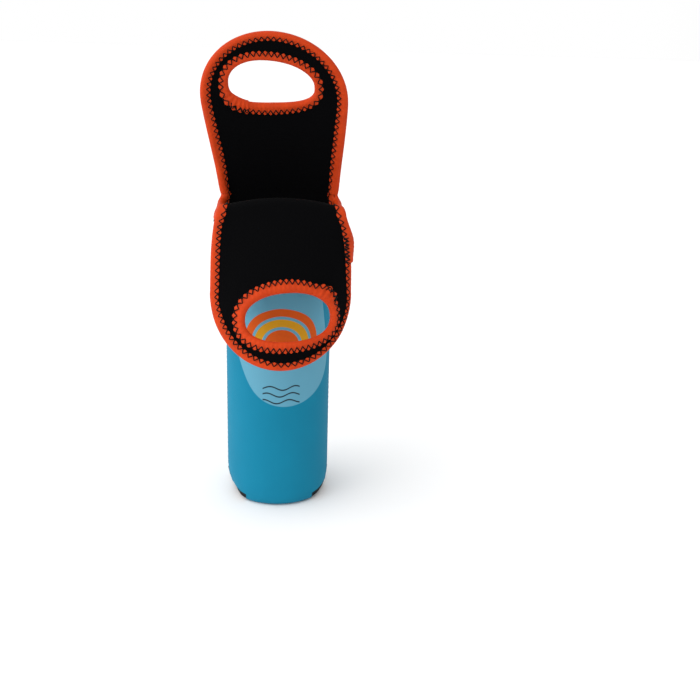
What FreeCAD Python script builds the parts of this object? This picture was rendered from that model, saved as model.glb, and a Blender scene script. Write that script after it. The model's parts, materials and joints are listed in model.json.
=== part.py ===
import FreeCAD, Part
import math
import os
import Sketcher

# Neoprene bottle carrier: two laminated panels sewn into a sleeve, with bound handles that fold.
# Millimetres and degrees, +Z up, the front faces -Y, origin at the middle of the base on the ground.

# Driving dimensions
SIZES = {
    # Laminate
    "lining_thick": 0.5,
    "foam_thick": 2.5,
    "jersey_thick": 0.5,
    # Sleeve
    "bore_radius": 37.75,
    "heel_radius": 8.0,
    "round_height": 120.0,
    "mouth_half_width": 41.5,
    "mouth_corner": 20.0,
    "crotch_depth": 9.0,
    "crotch_half_span": 34.0,
    # Base notches
    "strap_half_width": 28.0,
    "notch_height": 9.0,
    "notch_half_span": 30.0,
    "seam_foot": 2.5,
    # Folds
    "fold_height": 243.0,
    "fold_radius": 5.0,
    "flap_hang": 18.0,
    "closing_lean": 15.0,
    "fold_gap": 0.2,
    # Handles: the flap is the front one, the grip the back one
    "flap_length": 118.5,
    "flap_half_width": 50.5,
    "flap_draw_in": 7.5,
    "flap_side_height": 40.0,
    "flap_widest_height": 63.0,
    "flap_bow": 40.0,
    "grip_length": 123.0,
    "grip_half_width": 54.4,
    "grip_draw_in": 7.4,
    "grip_side_height": 68.0,
    "grip_widest_height": 77.0,
    "grip_bow": 5.0,
    # Hand holes
    "hole_half_height": 18.2,
    "hole_end_radius": 12.0,
    "flap_hole_height": 80.5,
    "flap_hole_half_length": 31.0,
    "grip_hole_height": 86.0,
    "grip_hole_half_length": 33.2,
    # Binding tape and thread
    "tape_width": 7.5,
    "hole_tape_width": 7.0,
    "tape_thick": 1.1,
    "stitch_inset": 3.6,
    "stitch_width": 2.8,
    "stitch_thick": 0.4,
    "seam_half_width": 2.0,
    "seam_proud": 0.3,
    "tack_length": 7.0,
    "tack_half_width": 3.0,
    "tack_thick": 1.0,
}

doc = FreeCAD.newDocument("bottle_carrier")
sheet = doc.addObject("Spreadsheet::Sheet", "Sizes")
for row, (alias, number) in enumerate(SIZES.items(), start=1):
    sheet.set(f"A{row}", alias)
    sheet.set(f"B{row}", str(number))
    sheet.setAlias(f"B{row}", alias)
doc.recompute()


class Size:
    """A number together with the spreadsheet formula that gives it."""

    def __init__(self, value, text):
        self.value = value
        self.text = text

    @staticmethod
    def of(other):
        return other if isinstance(other, Size) else Size(float(other), repr(float(other)))

    def join(self, sign, other, value):
        return Size(value, f"({self.text} {sign} {other.text})")

    def __add__(self, other):
        other = Size.of(other)
        return self.join("+", other, self.value + other.value)

    def __sub__(self, other):
        other = Size.of(other)
        return self.join("-", other, self.value - other.value)

    def __mul__(self, other):
        other = Size.of(other)
        return self.join("*", other, self.value * other.value)

    def __truediv__(self, other):
        other = Size.of(other)
        return self.join("/", other, self.value / other.value)

    def __radd__(self, other):
        return Size.of(other) + self

    def __rsub__(self, other):
        return Size.of(other) - self

    def __rmul__(self, other):
        return Size.of(other) * self

    def __neg__(self):
        return 0 - self


def cell(alias):
    return Size(float(sheet.get(alias)), f"Sizes.{alias}")


def root(size):
    return Size(math.sqrt(size.value), f"sqrt({size.text})")


def hypot(one, two):
    return root(one * one + two * two)


def sine(angle):
    return Size(math.sin(math.radians(angle.value)), f"sin({angle.text} * 1 deg)")


def cosine(angle):
    return Size(math.cos(math.radians(angle.value)), f"cos({angle.text} * 1 deg)")


ZERO = Size(0.0, "0")

bore = cell("bore_radius")
heel = cell("heel_radius")
lining = cell("lining_thick")
foam = cell("foam_thick")
jersey = cell("jersey_thick")
wall = lining + foam + jersey
tape = cell("tape_thick")
tape_width = cell("tape_width")
hole_tape_width = cell("hole_tape_width")
round_height = cell("round_height")
fold_height = cell("fold_height")
fold_radius = cell("fold_radius")
fold_gap = cell("fold_gap")
lean = cell("closing_lean")
hang = cell("flap_hang")
mouth_width = cell("mouth_half_width")
mouth_corner = cell("mouth_corner")
strap = cell("strap_half_width")
seam_foot = cell("seam_foot")
stitch_inset = cell("stitch_inset")
stitch_end = stitch_inset + cell("stitch_width")
stitch_thick = cell("stitch_thick")
seam_half = cell("seam_half_width")

# The wall ends just under the fold, so that a raised handle clears it when it leans in.
fold_outside = fold_radius + wall / 2
fold_axis = bore + wall / 2 + fold_radius
wall_top = fold_height - fold_outside * sine(lean) - fold_gap
flap_crease = cell("flap_half_width") - cell("flap_draw_in")
mouth_flat = mouth_width - mouth_corner

# Cutting tools reach this far past what they cut.
PAST = 30.0
beyond = mouth_width + wall + PAST

# Layers of the laminate, as depths measured outwards from the lining's inner face.
LAYERS = {
    "lining": (ZERO, lining),
    "foam": (lining, lining + foam),
    "jersey": (lining + foam, wall),
}
BOUND = (-tape, wall + tape)
STITCHED = (-tape - stitch_thick, wall + tape + stitch_thick)

subparts = []


def keep(obj, label):
    obj.Label = label
    subparts.append(obj)


# Sketches and features


def new_sketch(body, name, plane, height=ZERO):
    sketch = body.newObject("Sketcher::SketchObject", f"{body.Name}_{name}")
    support = [feature for feature in body.Origin.OriginFeatures if feature.Role == plane]
    sketch.AttachmentSupport = [(support[0], "")]
    sketch.MapMode = "FlatFace"
    if height is not ZERO:
        sketch.setExpression("AttachmentOffset.Base.z", height.text)
    return sketch


def fix_size(sketch, constraint, size):
    index = sketch.addConstraint(constraint)
    sketch.setExpression(f"Constraints[{index}]", size.text)


def pin(sketch, curve, end, point):
    """Holds one end of a curve at a point given by two sizes."""
    across, up = point
    if across is ZERO:
        sketch.addConstraint(Sketcher.Constraint("PointOnObject", curve, end, -2))
    else:
        fix_size(sketch, Sketcher.Constraint("DistanceX", -1, 1, curve, end, across.value), across)
    if up is ZERO:
        sketch.addConstraint(Sketcher.Constraint("PointOnObject", curve, end, -1))
    else:
        fix_size(sketch, Sketcher.Constraint("DistanceY", -1, 1, curve, end, up.value), up)


def draw_loop(sketch, corners):
    """Draws a closed loop. Each corner is (point, None) where a line runs to the next corner,
    or (point, (centre, radius)) where an arc of under a half circle does."""
    vectors = [FreeCAD.Vector(point[0].value, point[1].value, 0) for point, _ in corners]
    ends = []
    for start, stop, (_, arc) in zip(vectors, vectors[1:] + vectors[:1], corners):
        if arc is None:
            ends.append((sketch.addGeometry(Part.LineSegment(start, stop), False), 1, 2))
            continue
        centre = FreeCAD.Vector(arc[0][0].value, arc[0][1].value, 0)
        outward = (start + stop) / 2 - centre
        middle = centre + outward.normalize() * arc[1].value
        curve = sketch.addGeometry(Part.Arc(start, middle, stop), False)
        first, last = [sketch.getPoint(curve, end).distanceToPoint(start) for end in (1, 2)]
        ends.append((curve, 2, 1) if last < first else (curve, 1, 2))
    for (curve, _, last), (after, first, _) in zip(ends, ends[1:] + ends[:1]):
        sketch.addConstraint(Sketcher.Constraint("Coincident", curve, last, after, first))
    for (curve, first, _), (point, arc) in zip(ends, corners):
        pin(sketch, curve, first, point)
        if arc is not None:
            fix_size(sketch, Sketcher.Constraint("Radius", curve, arc[1].value), arc[1])


def straight(*points):
    return [(point, None) for point in points]


def rectangle(low_x, low_y, high_x, high_y):
    return straight((low_x, low_y), (high_x, low_y), (high_x, high_y), (low_x, high_y))


def cut_through(body, name, plane, *loops):
    """Cuts the region between loops right through the body, along the plane's normal."""
    sketch = new_sketch(body, name, plane)
    for loop in loops:
        draw_loop(sketch, loop)
    pocket = body.newObject("PartDesign::Pocket", f"{sketch.Name}_cut")
    pocket.Profile = sketch
    pocket.Type = "ThroughAll"
    pocket.SideType = "Symmetric"


def pad(body, name, plane, loop, whole, height=ZERO):
    sketch = new_sketch(body, name, plane, height)
    draw_loop(sketch, loop)
    feature = body.newObject("PartDesign::Pad", f"{sketch.Name}_pad")
    feature.Profile = sketch
    feature.setExpression("Length", whole.text)
    return feature


def cut_blind(body, name, plane, loop, depth, height, forward):
    sketch = new_sketch(body, name, plane, height)
    draw_loop(sketch, loop)
    feature = body.newObject("PartDesign::Pocket", f"{sketch.Name}_cut")
    feature.Profile = sketch
    feature.setExpression("Length", depth.text)
    feature.Reversed = forward


def loft(body, name, kind, lower, upper, low_height, high_height):
    """Ruled loft between two loops of the same count, one above the other."""
    sketches = []
    for end, loop, height in (("low", lower, low_height), ("high", upper, high_height)):
        sketches.append(new_sketch(body, f"{name}_{end}", "XY_Plane", height))
        draw_loop(sketches[-1], loop)
    feature = body.newObject(f"PartDesign::{kind}Loft", f"{body.Name}_{name}")
    feature.Profile = sketches[0]
    feature.Sections = [sketches[1]]
    feature.Ruled = True


def cut_from(label, base, tool):
    """Leaves of base what lies outside tool."""
    cut = doc.addObject("Part::Cut", f"{label}_cut")
    cut.Base = base
    cut.Tool = tool
    keep(cut, label)


# Sleeve: each layer of each panel is half a cup whose wall opens to a squarer mouth


def half_cup_section(inner, outer):
    flat = bore - heel
    centre = (flat, wall + heel)
    return [
        ((ZERO, wall - outer), None),
        ((flat, wall - outer), (centre, heel + outer)),
        ((bore + outer, wall + heel), None),
        ((bore + outer, round_height), None),
        ((bore + inner, round_height), None),
        ((bore + inner, wall + heel), (centre, heel + inner)),
        ((flat, wall - inner), None),
        ((ZERO, wall - inner), None),
    ]


def round_rim(depth, side):
    """Half circle at one depth in the laminate, split where the mouth's corners begin and end."""
    radius = bore + depth
    low_reach = hypot(mouth_width, bore - mouth_corner)
    high_reach = hypot(mouth_flat, bore)
    low = (radius * mouth_width / low_reach, radius * (bore - mouth_corner) / low_reach * side)
    high = (radius * mouth_flat / high_reach, radius * bore / high_reach * side)
    points = [(radius, ZERO), low, high, (-high[0], high[1]), (-low[0], low[1]), (-radius, ZERO)]
    return points, [((ZERO, ZERO), radius)] * 5


def mouth_rim(depth, side):
    """Half of the mouth at one depth: flat at the fold and at the side seams, round at the corners."""
    half_width = mouth_width + depth
    reach = (bore + depth) * side
    turn = (bore - mouth_corner) * side
    radius = mouth_corner + depth
    points = [
        (half_width, ZERO),
        (half_width, turn),
        (mouth_flat, reach),
        (-mouth_flat, reach),
        (-half_width, turn),
        (-half_width, ZERO),
    ]
    return points, [None, ((mouth_flat, turn), radius), None, ((-mouth_flat, turn), radius), None]


def half_ring(rim, depths, side):
    inner, outer = depths
    outer_points, outer_arcs = rim(outer, side)
    inner_points, inner_arcs = rim(inner, side)
    loop = list(zip(outer_points, outer_arcs + [None]))
    return loop + list(zip(inner_points[::-1], inner_arcs[::-1] + [None]))


def wall_loft(body, name, depths, side, kind="Additive"):
    lower = half_ring(round_rim, depths, side)
    upper = half_ring(mouth_rim, depths, side)
    loft(body, name, kind, lower, upper, round_height, fold_height)


def rim_edge(drop, far_height):
    """Loop from the rim, which dips to a crotch at each side seam, to a far height above or below.
    The rim is lowered by drop."""
    span = cell("crotch_half_span")
    depth = cell("crotch_depth")
    radius = (span * span + depth * depth) / (depth * 2)
    high = wall_top - drop
    low = high - depth
    bend = ((ZERO, low + radius), radius)
    return [
        ((-beyond, high), None),
        ((-span, high), bend),
        ((ZERO, low), bend),
        ((span, high), None),
        ((beyond, high), None),
        ((beyond, far_height), None),
        ((-beyond, far_height), None),
    ]


above_rim = fold_height + PAST
below_rim = round_height - PAST


def notch_outline():
    """Base notch seen along the base seam: two peaks with the foot of the side seam between them."""
    span = cell("notch_half_span")
    peak = cell("notch_height")
    under = ZERO - PAST
    return straight((-span, under), (-span, peak), (ZERO, seam_foot), (span, peak), (span, under))


def sleeve_layer(panel, layer, side):
    inner, outer = LAYERS[layer]
    body = doc.addObject("PartDesign::Body", f"{panel}_{layer}")
    section = new_sketch(body, "section", "XZ_Plane")
    draw_loop(section, half_cup_section(inner, outer))
    cup = body.newObject("PartDesign::Revolution", f"{body.Name}_cup")
    cup.Profile = section
    cup.ReferenceAxis = (section, ["V_Axis"])
    cup.Angle = 180
    cup.Reversed = side < 0
    wall_loft(body, "wall", (inner, outer), side)
    cut_through(body, "rim", "YZ_Plane", rim_edge(ZERO, above_rim))
    cut_blind(body, "left_notch", "YZ_Plane", notch_outline(), beyond, -strap, False)
    cut_blind(body, "right_notch", "YZ_Plane", notch_outline(), beyond, strap, True)
    if layer == "jersey":
        cut_through(body, "valley", "XY_Plane", rectangle(-beyond, -seam_half, beyond, seam_half))
    keep(body, body.Name)


for panel, side in (("front", -1), ("back", 1)):
    for layer in LAYERS:
        sleeve_layer(panel, layer, side)


# Crotch bindings: tape folded over the rim between the two folds, left and right


def both_halves(body, name, depths, kind="Additive"):
    wall_loft(body, f"{name}_front", depths, -1, kind)
    wall_loft(body, f"{name}_back", depths, 1, kind)


def cut_beside_folds(body, side):
    """Keeps what lies on one side of the sleeve, clear of both folds."""
    reach = fold_axis - fold_outside - tape - stitch_thick - fold_gap
    width = mouth_width + wall + PAST / 2
    around = rectangle(-beyond, -beyond, beyond, beyond)
    cut_through(body, "side", "XY_Plane", around, rectangle(ZERO, -reach, width * side, reach))


wall_tool = doc.addObject("PartDesign::Body", "wall_tool")
both_halves(wall_tool, "wall", (ZERO, wall))
cut_through(wall_tool, "rim", "YZ_Plane", rim_edge(ZERO, above_rim))

for name, side in (("left", -1), ("right", 1)):
    blank = doc.addObject("PartDesign::Body", f"{name}_crotch_tape")
    both_halves(blank, "tape", BOUND)
    cut_through(blank, "top", "YZ_Plane", rim_edge(-tape, above_rim))
    cut_through(blank, "hem", "YZ_Plane", rim_edge(tape_width, below_rim))
    cut_beside_folds(blank, side)
    cut_from(f"{name}_crotch_binding", blank, wall_tool)
    thread = doc.addObject("PartDesign::Body", f"{name}_crotch_stitch")
    both_halves(thread, "thread", STITCHED)
    cut_through(thread, "top", "YZ_Plane", rim_edge(stitch_inset, above_rim))
    cut_through(thread, "hem", "YZ_Plane", rim_edge(stitch_end, below_rim))
    cut_beside_folds(thread, side)
    both_halves(thread, "tape", BOUND, "Subtractive")
    keep(thread, thread.Name)


# Seams: thread that fills the valley between the jersey edges, and bar tacks at its ends


def side_seam(name, side):
    """Strip of thread over the heel and up the side, as high as the crotch binding."""
    proud = cell("seam_proud")
    floor = lining + foam
    face = wall + proud
    start = seam_foot + proud
    drop = wall + heel - start
    centre_x = bore - heel
    centre = (centre_x * side, wall + heel)
    top = wall_top - cell("crotch_depth") - tape_width
    rise = (top - round_height) / (fold_height - round_height) * (mouth_width - bore)
    body = doc.addObject("PartDesign::Body", f"{name}_side_seam")

    def flank(depth):
        low = ((centre_x + root((heel + depth) * (heel + depth) - drop * drop)) * side, start)
        points = [low, ((bore + depth) * side, wall + heel), ((bore + depth) * side, round_height)]
        return points + [((bore + depth + rise) * side, top)]

    outer = list(zip(flank(face), [(centre, heel + face), None, None, None]))
    inner = list(zip(flank(floor)[::-1], [None, None, (centre, heel + floor), None]))
    pad(body, "strip", "XZ_Plane", outer + inner, seam_half * 2).SideType = "Symmetric"
    keep(body, body.Name)


def box(name, low, high):
    solid = doc.addObject("Part::Box", name)
    for axis, size, start, stop in zip("xyz", ("Length", "Width", "Height"), low, high):
        solid.setExpression(size, (stop - start).text)
        solid.setExpression(f"Placement.Base.{axis}", start.text)
    return solid


side_seam("left", -1)
side_seam("right", 1)
keep(box("base_thread", (-strap, -seam_half, ZERO), (strap, seam_half, jersey)), "base_seam")

tack_half = cell("tack_half_width")
tack_thick = cell("tack_thick")
seam_face = bore + wall + cell("seam_proud")
tack_face = seam_face + tack_thick
tack_low = wall + heel
tack_high = tack_low + cell("tack_length")
tacks = doc.addObject("Part::Compound", "tack_group")
tacks.Links = [
    box("right_base_tack", (strap, -tack_half, jersey), (strap + tack_thick, tack_half, seam_foot)),
    box("left_base_tack", (-strap - tack_thick, -tack_half, jersey), (-strap, tack_half, seam_foot)),
    box("right_seam_tack", (seam_face, -seam_half, tack_low), (tack_face, seam_half, tack_high)),
    box("left_seam_tack", (-tack_face, -seam_half, tack_low), (-seam_face, seam_half, tack_high)),
]
keep(tacks, "bar_tacks")


# Front fold: the stretch of the front panel that bends over, with the tape on its two ends


def bend_section(depths):
    """Ring sector about the fold's axis, from the wall over the top to the hanging flap."""
    first = -lean
    last = 180 - hang
    middle = (first + last) / 2
    outer, inner = [fold_outside - depth for depth in depths]

    def at(radius, angle):
        return (radius * cosine(angle), radius * sine(angle))

    origin = (ZERO, ZERO)
    return [
        (at(outer, first), (origin, outer)),
        (at(outer, middle), (origin, outer)),
        (at(outer, last), None),
        (at(inner, last), (origin, inner)),
        (at(inner, middle), (origin, inner)),
        (at(inner, first), None),
    ]


def on_fold(body):
    body.setExpression("Placement.Base.y", (-fold_axis).text)
    body.setExpression("Placement.Base.z", fold_height.text)


for layer, depths in LAYERS.items():
    body = doc.addObject("PartDesign::Body", f"fold_{layer}")
    pad(body, "bend", "YZ_Plane", bend_section(depths), flap_crease * 2).SideType = "Symmetric"
    on_fold(body)
    keep(body, body.Name)

for name, side in (("left", -1), ("right", 1)):
    body = doc.addObject("PartDesign::Body", f"{name}_fold_binding")
    start = (flap_crease - tape_width) * side
    cap = pad(body, "cap", "YZ_Plane", bend_section(BOUND), tape_width + tape, start)
    cap.Reversed = side < 0
    cut_blind(body, "panel", "YZ_Plane", bend_section((ZERO, wall)), tape_width, start, side > 0)
    on_fold(body)
    keep(body, body.Name)


# Handles: bowed sheets in a frame whose X axis is the fold, standing up along Z


class Handle:
    """Sizes of one handle. side is -1 at the front, 1 at the back. towards is 1 where its edges
    bow to the jersey face and -1 where they bow to the lining."""

    def __init__(self, name, side, towards, tilt):
        self.name = name
        self.side = side
        self.tilt = tilt
        self.length = cell(f"{name}_length")
        self.half_width = cell(f"{name}_half_width")
        self.draw_in = cell(f"{name}_draw_in")
        self.side_height = cell(f"{name}_side_height")
        self.widest = cell(f"{name}_widest_height")
        self.bow = cell(f"{name}_bow")
        self.hole_height = cell(f"{name}_hole_height")
        self.hole_half_length = cell(f"{name}_hole_half_length")
        self.curl = side * towards
        self.blank_width = self.half_width + tape * 2
        self.blank_height = self.length + tape * 2

    def straight_strip(self, depths):
        low, high = [(fold_outside - depth) * -self.side for depth in depths]
        wide = self.blank_width
        return straight((wide, low), (-wide, low), (-wide, high), (wide, high))

    def bowed_strip(self, depths):
        """Arc strip of the same width, its ends drawn back by the bow."""
        radius = (self.blank_width * self.blank_width + self.bow * self.bow) / (self.bow * 2)
        centre = (ZERO, fold_outside * -self.side + radius * self.curl)
        corners = []
        for depth, across in zip(depths, (1, -1)):
            here = radius - depth * (self.side * self.curl)
            share = here / radius
            reach = self.blank_width * share * across
            back = centre[1] - (radius - self.bow) * share * self.curl
            corners += [((reach, back), (centre, here)), ((-reach, back), None)]
        return corners

    def outline(self, offset):
        """Edge of the handle moved out by offset: drawn-in sides, straight flanks and a round end.
        The end is two shoulder arcs and a top arc that meet as an ellipse's arcs would."""
        rise = self.length - self.widest
        flank = (self.draw_in * self.draw_in + self.side_height * self.side_height) / (self.draw_in * 2)
        shoulder = rise * rise / self.half_width
        top = self.half_width * (self.half_width + rise) / (rise * 2)
        flank_x = self.half_width - flank
        foot = flank_x + root((flank + offset) * (flank + offset) - self.side_height * self.side_height)
        shoulder_x = self.half_width - shoulder
        top_centre = (ZERO, self.length - top)
        share = (shoulder + offset) / (shoulder - top)
        meet_x = shoulder_x - shoulder_x * share
        meet_z = self.widest + (self.length - top - self.widest) * share
        edge = self.half_width + offset
        under = ZERO - PAST
        return [
            ((foot, under), None),
            ((foot, ZERO), ((flank_x, self.side_height), flank + offset)),
            ((edge, self.side_height), None),
            ((edge, self.widest), ((shoulder_x, self.widest), shoulder + offset)),
            ((meet_x, meet_z), (top_centre, top + offset)),
            ((-meet_x, meet_z), ((-shoulder_x, self.widest), shoulder + offset)),
            ((-edge, self.widest), None),
            ((-edge, self.side_height), ((-flank_x, self.side_height), flank + offset)),
            ((-foot, ZERO), None),
            ((-foot, under), None),
        ]

    def hole(self, offset):
        """Oval hand hole moved out by offset: two end arcs joined by two long arcs."""
        half_height = cell("hole_half_height")
        end = cell("hole_end_radius")
        middle = self.hole_height
        end_x = self.hole_half_length - end
        long = (end_x * end_x + half_height * half_height - end * end) / ((half_height - end) * 2)
        drop = long - half_height
        share = (long + offset) / (long - end)
        meet_x = end_x * share
        meet_z = drop * share - drop
        low_centre = (ZERO, middle - drop)
        high_centre = (ZERO, middle + drop)
        return [
            ((meet_x, middle - meet_z), ((end_x, middle), end + offset)),
            ((meet_x, middle + meet_z), (low_centre, long + offset)),
            ((-meet_x, middle + meet_z), ((-end_x, middle), end + offset)),
            ((-meet_x, middle - meet_z), (high_centre, long + offset)),
        ]

    def around(self):
        wide = self.blank_width + PAST
        return rectangle(-wide, ZERO - PAST * 2, wide, self.blank_height + PAST)

    def sheet(self, name, depths):
        body = doc.addObject("PartDesign::Body", f"{self.name}_{name}")
        self.add_sheet(body, "sheet", depths, "Additive")
        body.Placement = FreeCAD.Placement(FreeCAD.Vector(), FreeCAD.Rotation(FreeCAD.Vector(1, 0, 0), 1))
        body.setExpression("Placement.Rotation.Angle", self.tilt.text)
        body.setExpression("Placement.Base.y", (fold_axis * self.side).text)
        body.setExpression("Placement.Base.z", fold_height.text)
        return body

    def add_sheet(self, body, name, depths, kind):
        lower = self.straight_strip(depths)
        loft(body, name, kind, lower, self.bowed_strip(depths), ZERO, self.blank_height)


def build_handle(handle):
    """Three layers, the edge and hole bindings round them, and the thread on both faces of each tape."""
    for layer, depths in LAYERS.items():
        body = handle.sheet(layer, depths)
        cut_through(body, "edge", "XZ_Plane", handle.around(), handle.outline(ZERO))
        cut_through(body, "hole", "XZ_Plane", handle.hole(ZERO))
        keep(body, body.Name)
    panel = handle.sheet("panel_tool", (ZERO, wall))
    cut_through(panel, "edge", "XZ_Plane", handle.around(), handle.outline(ZERO))
    cut_through(panel, "hole", "XZ_Plane", handle.hole(ZERO))
    edge = handle.sheet("edge_tape", BOUND)
    cut_through(edge, "edge", "XZ_Plane", handle.around(), handle.outline(tape))
    cut_through(edge, "hem", "XZ_Plane", handle.outline(-tape_width))
    cut_from(f"{handle.name}_edge_binding", edge, panel)
    ring = handle.sheet("ring_tape", BOUND)
    cut_through(ring, "hem", "XZ_Plane", handle.around(), handle.hole(hole_tape_width))
    cut_through(ring, "edge", "XZ_Plane", handle.hole(-tape))
    cut_from(f"{handle.name}_hole_binding", ring, panel)
    thread = handle.sheet("edge_stitch", STITCHED)
    cut_through(thread, "edge", "XZ_Plane", handle.around(), handle.outline(-stitch_inset))
    cut_through(thread, "hem", "XZ_Plane", handle.outline(-stitch_end))
    handle.add_sheet(thread, "tape", BOUND, "Subtractive")
    keep(thread, thread.Name)
    thread = handle.sheet("hole_stitch", STITCHED)
    cut_through(thread, "hem", "XZ_Plane", handle.around(), handle.hole(stitch_end))
    cut_through(thread, "edge", "XZ_Plane", handle.hole(stitch_inset))
    handle.add_sheet(thread, "tape", BOUND, "Subtractive")
    keep(thread, thread.Name)


build_handle(Handle("flap", -1, 1, 180 - hang))
build_handle(Handle("grip", 1, -1, lean))

doc.recompute()

# Every object has to be sound before anything is written.
for obj in doc.Objects:
    if "Invalid" in obj.State or "Error" in obj.State:
        raise RuntimeError(f"{obj.Name} failed: {obj.State}")
for obj in subparts:
    if obj.Shape.isNull() or not obj.Shape.isValid():
        raise RuntimeError(f"{obj.Label} has no valid shape")

os.makedirs("parts", exist_ok=True)
for obj in subparts:
    obj.Shape.exportStep(f"parts/{obj.Label}.step")
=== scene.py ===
import json
import logging
import math
from dataclasses import dataclass, field
from enum import Enum
from typing import Any, Callable

import bmesh
import bpy
import numpy as np
from mathutils import Euler, Matrix, Vector


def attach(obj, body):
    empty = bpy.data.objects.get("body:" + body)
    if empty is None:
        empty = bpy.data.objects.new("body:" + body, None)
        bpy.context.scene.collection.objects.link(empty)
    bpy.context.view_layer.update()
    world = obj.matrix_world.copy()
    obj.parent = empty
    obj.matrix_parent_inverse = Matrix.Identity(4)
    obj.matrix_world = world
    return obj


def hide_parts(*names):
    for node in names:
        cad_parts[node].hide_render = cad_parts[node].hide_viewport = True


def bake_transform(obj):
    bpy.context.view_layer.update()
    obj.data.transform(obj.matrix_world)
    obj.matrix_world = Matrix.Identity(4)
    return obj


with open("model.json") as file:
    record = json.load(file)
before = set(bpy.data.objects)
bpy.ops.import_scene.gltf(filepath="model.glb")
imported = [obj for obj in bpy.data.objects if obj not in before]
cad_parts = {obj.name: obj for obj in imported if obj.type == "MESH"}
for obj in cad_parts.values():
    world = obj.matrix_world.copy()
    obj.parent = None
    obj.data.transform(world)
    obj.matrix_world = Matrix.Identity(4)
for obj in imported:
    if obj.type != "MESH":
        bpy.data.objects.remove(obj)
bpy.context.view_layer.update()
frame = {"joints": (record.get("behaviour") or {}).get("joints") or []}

Array = np.ndarray
Colour = tuple[float, float, float]
Thread = tuple[Array, Array, bool]

MM = 0.001
UV_PER_MM = 0.01
TINY = 1e-9
NEAR_QUARTER = 1.5707  # just under a quarter turn, so that its cosine stays above 0
STITCH_POINTS = 10

log = logging.getLogger("bottle_carrier")


class Layer(Enum):
    """Bonded layers of the panel cloth, from the bottle outwards."""

    LINING = "lining"
    FOAM = "foam"
    JERSEY = "jersey"


class Face(Enum):
    """The two faces of a panel, as the sign of the lift from its middle."""

    LINING = -1
    JERSEY = 1


class Hand(Enum):
    """Left and right of the carrier, seen from the front."""

    LEFT = -1
    RIGHT = 1


def ease(share: Array) -> Array:
    """Returns the smooth step 3s^2 - 2s^3 of a share held between 0 and 1."""
    held = np.clip(share, 0.0, 1.0)
    return held * held * (3.0 - 2.0 * held)


def unit(vectors: Array) -> Array:
    """Returns vectors divided by their lengths, along the last axis."""
    return vectors / np.maximum(np.linalg.norm(vectors, axis=-1, keepdims=True), 1e-12)


def triangle(cycle: Array) -> Array:
    """Returns a triangle wave of a count of turns: 1 at whole turns and 0 midway between."""
    return np.abs((cycle % 1.0) * 2.0 - 1.0)


def stitch_arch(cycle: Array) -> Array:
    """Returns how a zigzag thread rises from stitch to stitch: the root of a sine's size."""
    return np.sqrt(np.abs(np.sin(2.0 * math.pi * cycle)))


def lengths_along(points: Array) -> Array:
    """Returns the length of a line up to each of its points."""
    return np.concatenate([[0.0], np.cumsum(np.linalg.norm(np.diff(points, axis=0), axis=1))])


def between(marks: Array, known: Array, points: Array) -> Array:
    """Returns points of a line at the given marks, between those that are known."""
    return np.stack([np.interp(marks, known, column) for column in points.T], axis=-1)


def hinge_point(joint: str) -> Array:
    """Returns the place of a joint of the frame, in millimetres."""
    found = next(item for item in frame["joints"] if item["name"] == joint)
    return np.array(found["pos_m"]) / MM


# Meshes


def numbered(shape: tuple[int, ...], start: int) -> Array:
    """Returns a matrix of point numbers, counted from start."""
    return np.arange(math.prod(shape)).reshape(shape) + start


def grid_quads(ids: Array) -> Array:
    """Joins neighbouring rows and columns of a matrix of point numbers into quads.

    Args:
        ids: Point numbers, one row of the grid per row.

    Returns:
        Quads as rows of four point numbers.
    """
    corners = (ids[:-1, :-1], ids[:-1, 1:], ids[1:, 1:], ids[1:, :-1])
    return np.stack(corners, axis=-1).reshape(-1, 4)


def close_shell(outer: Array, inner: Array, quads: Array) -> tuple[Array, Array]:
    """Makes a closed shell of two like surfaces: both faces, and a wall along every free edge.

    A free edge is one whose reverse belongs to no quad. The shell is turned so that the outer
    surface faces away from the inner one.

    Args:
        outer: Points of the outer surface.
        inner: The same points on the inner surface.
        quads: Quads over either surface.

    Returns:
        Points and quads of the shell.
    """
    first, second, third = (outer[quads[:, column]] for column in (0, 1, 2))
    normals = np.cross(second - first, third - first)
    if np.sum(normals * (first - inner[quads[:, 0]])) < 0:
        quads = quads[:, ::-1]
    count = len(outer)
    edges = np.concatenate([quads[:, [side, (side + 1) % 4]] for side in range(4)])
    codes = edges[:, 0] * count + edges[:, 1]
    free = edges[~np.isin(edges[:, 1] * count + edges[:, 0], codes)]
    start, stop = free.T
    walls = np.column_stack([stop, start, start + count, stop + count])
    return np.concatenate([outer, inner]), np.concatenate([quads, quads[:, ::-1] + count, walls])


def sweep_quads(stations: int, ring: int, closed: bool, offset: int = 0) -> list[Any]:
    """Faces of a closed ring carried along a path of stations.

    Args:
        stations: Number of rings along the path.
        ring: Number of points in each ring.
        closed: True where the path returns to its start.
        offset: Number of the first point.

    Returns:
        Quads, and two end caps where the path is open.
    """
    ids = numbered((stations, ring), offset)
    around = np.concatenate([ids, ids[:, :1]], axis=1)
    if closed:
        around = np.concatenate([around, around[:1]], axis=0)
    faces: list[Any] = grid_quads(around).tolist()
    if not closed:
        faces += [ids[0, ::-1].tolist(), ids[-1].tolist()]
    return faces


def add_object(name: str, data: Any) -> bpy.types.Object:
    """Puts a new object into the scene.

    Args:
        name: Name of the object.
        data: Mesh, light or camera that it holds.

    Returns:
        The new object.
    """
    made = bpy.data.objects.new(name, data)
    bpy.context.scene.collection.objects.link(made)
    return made


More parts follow.
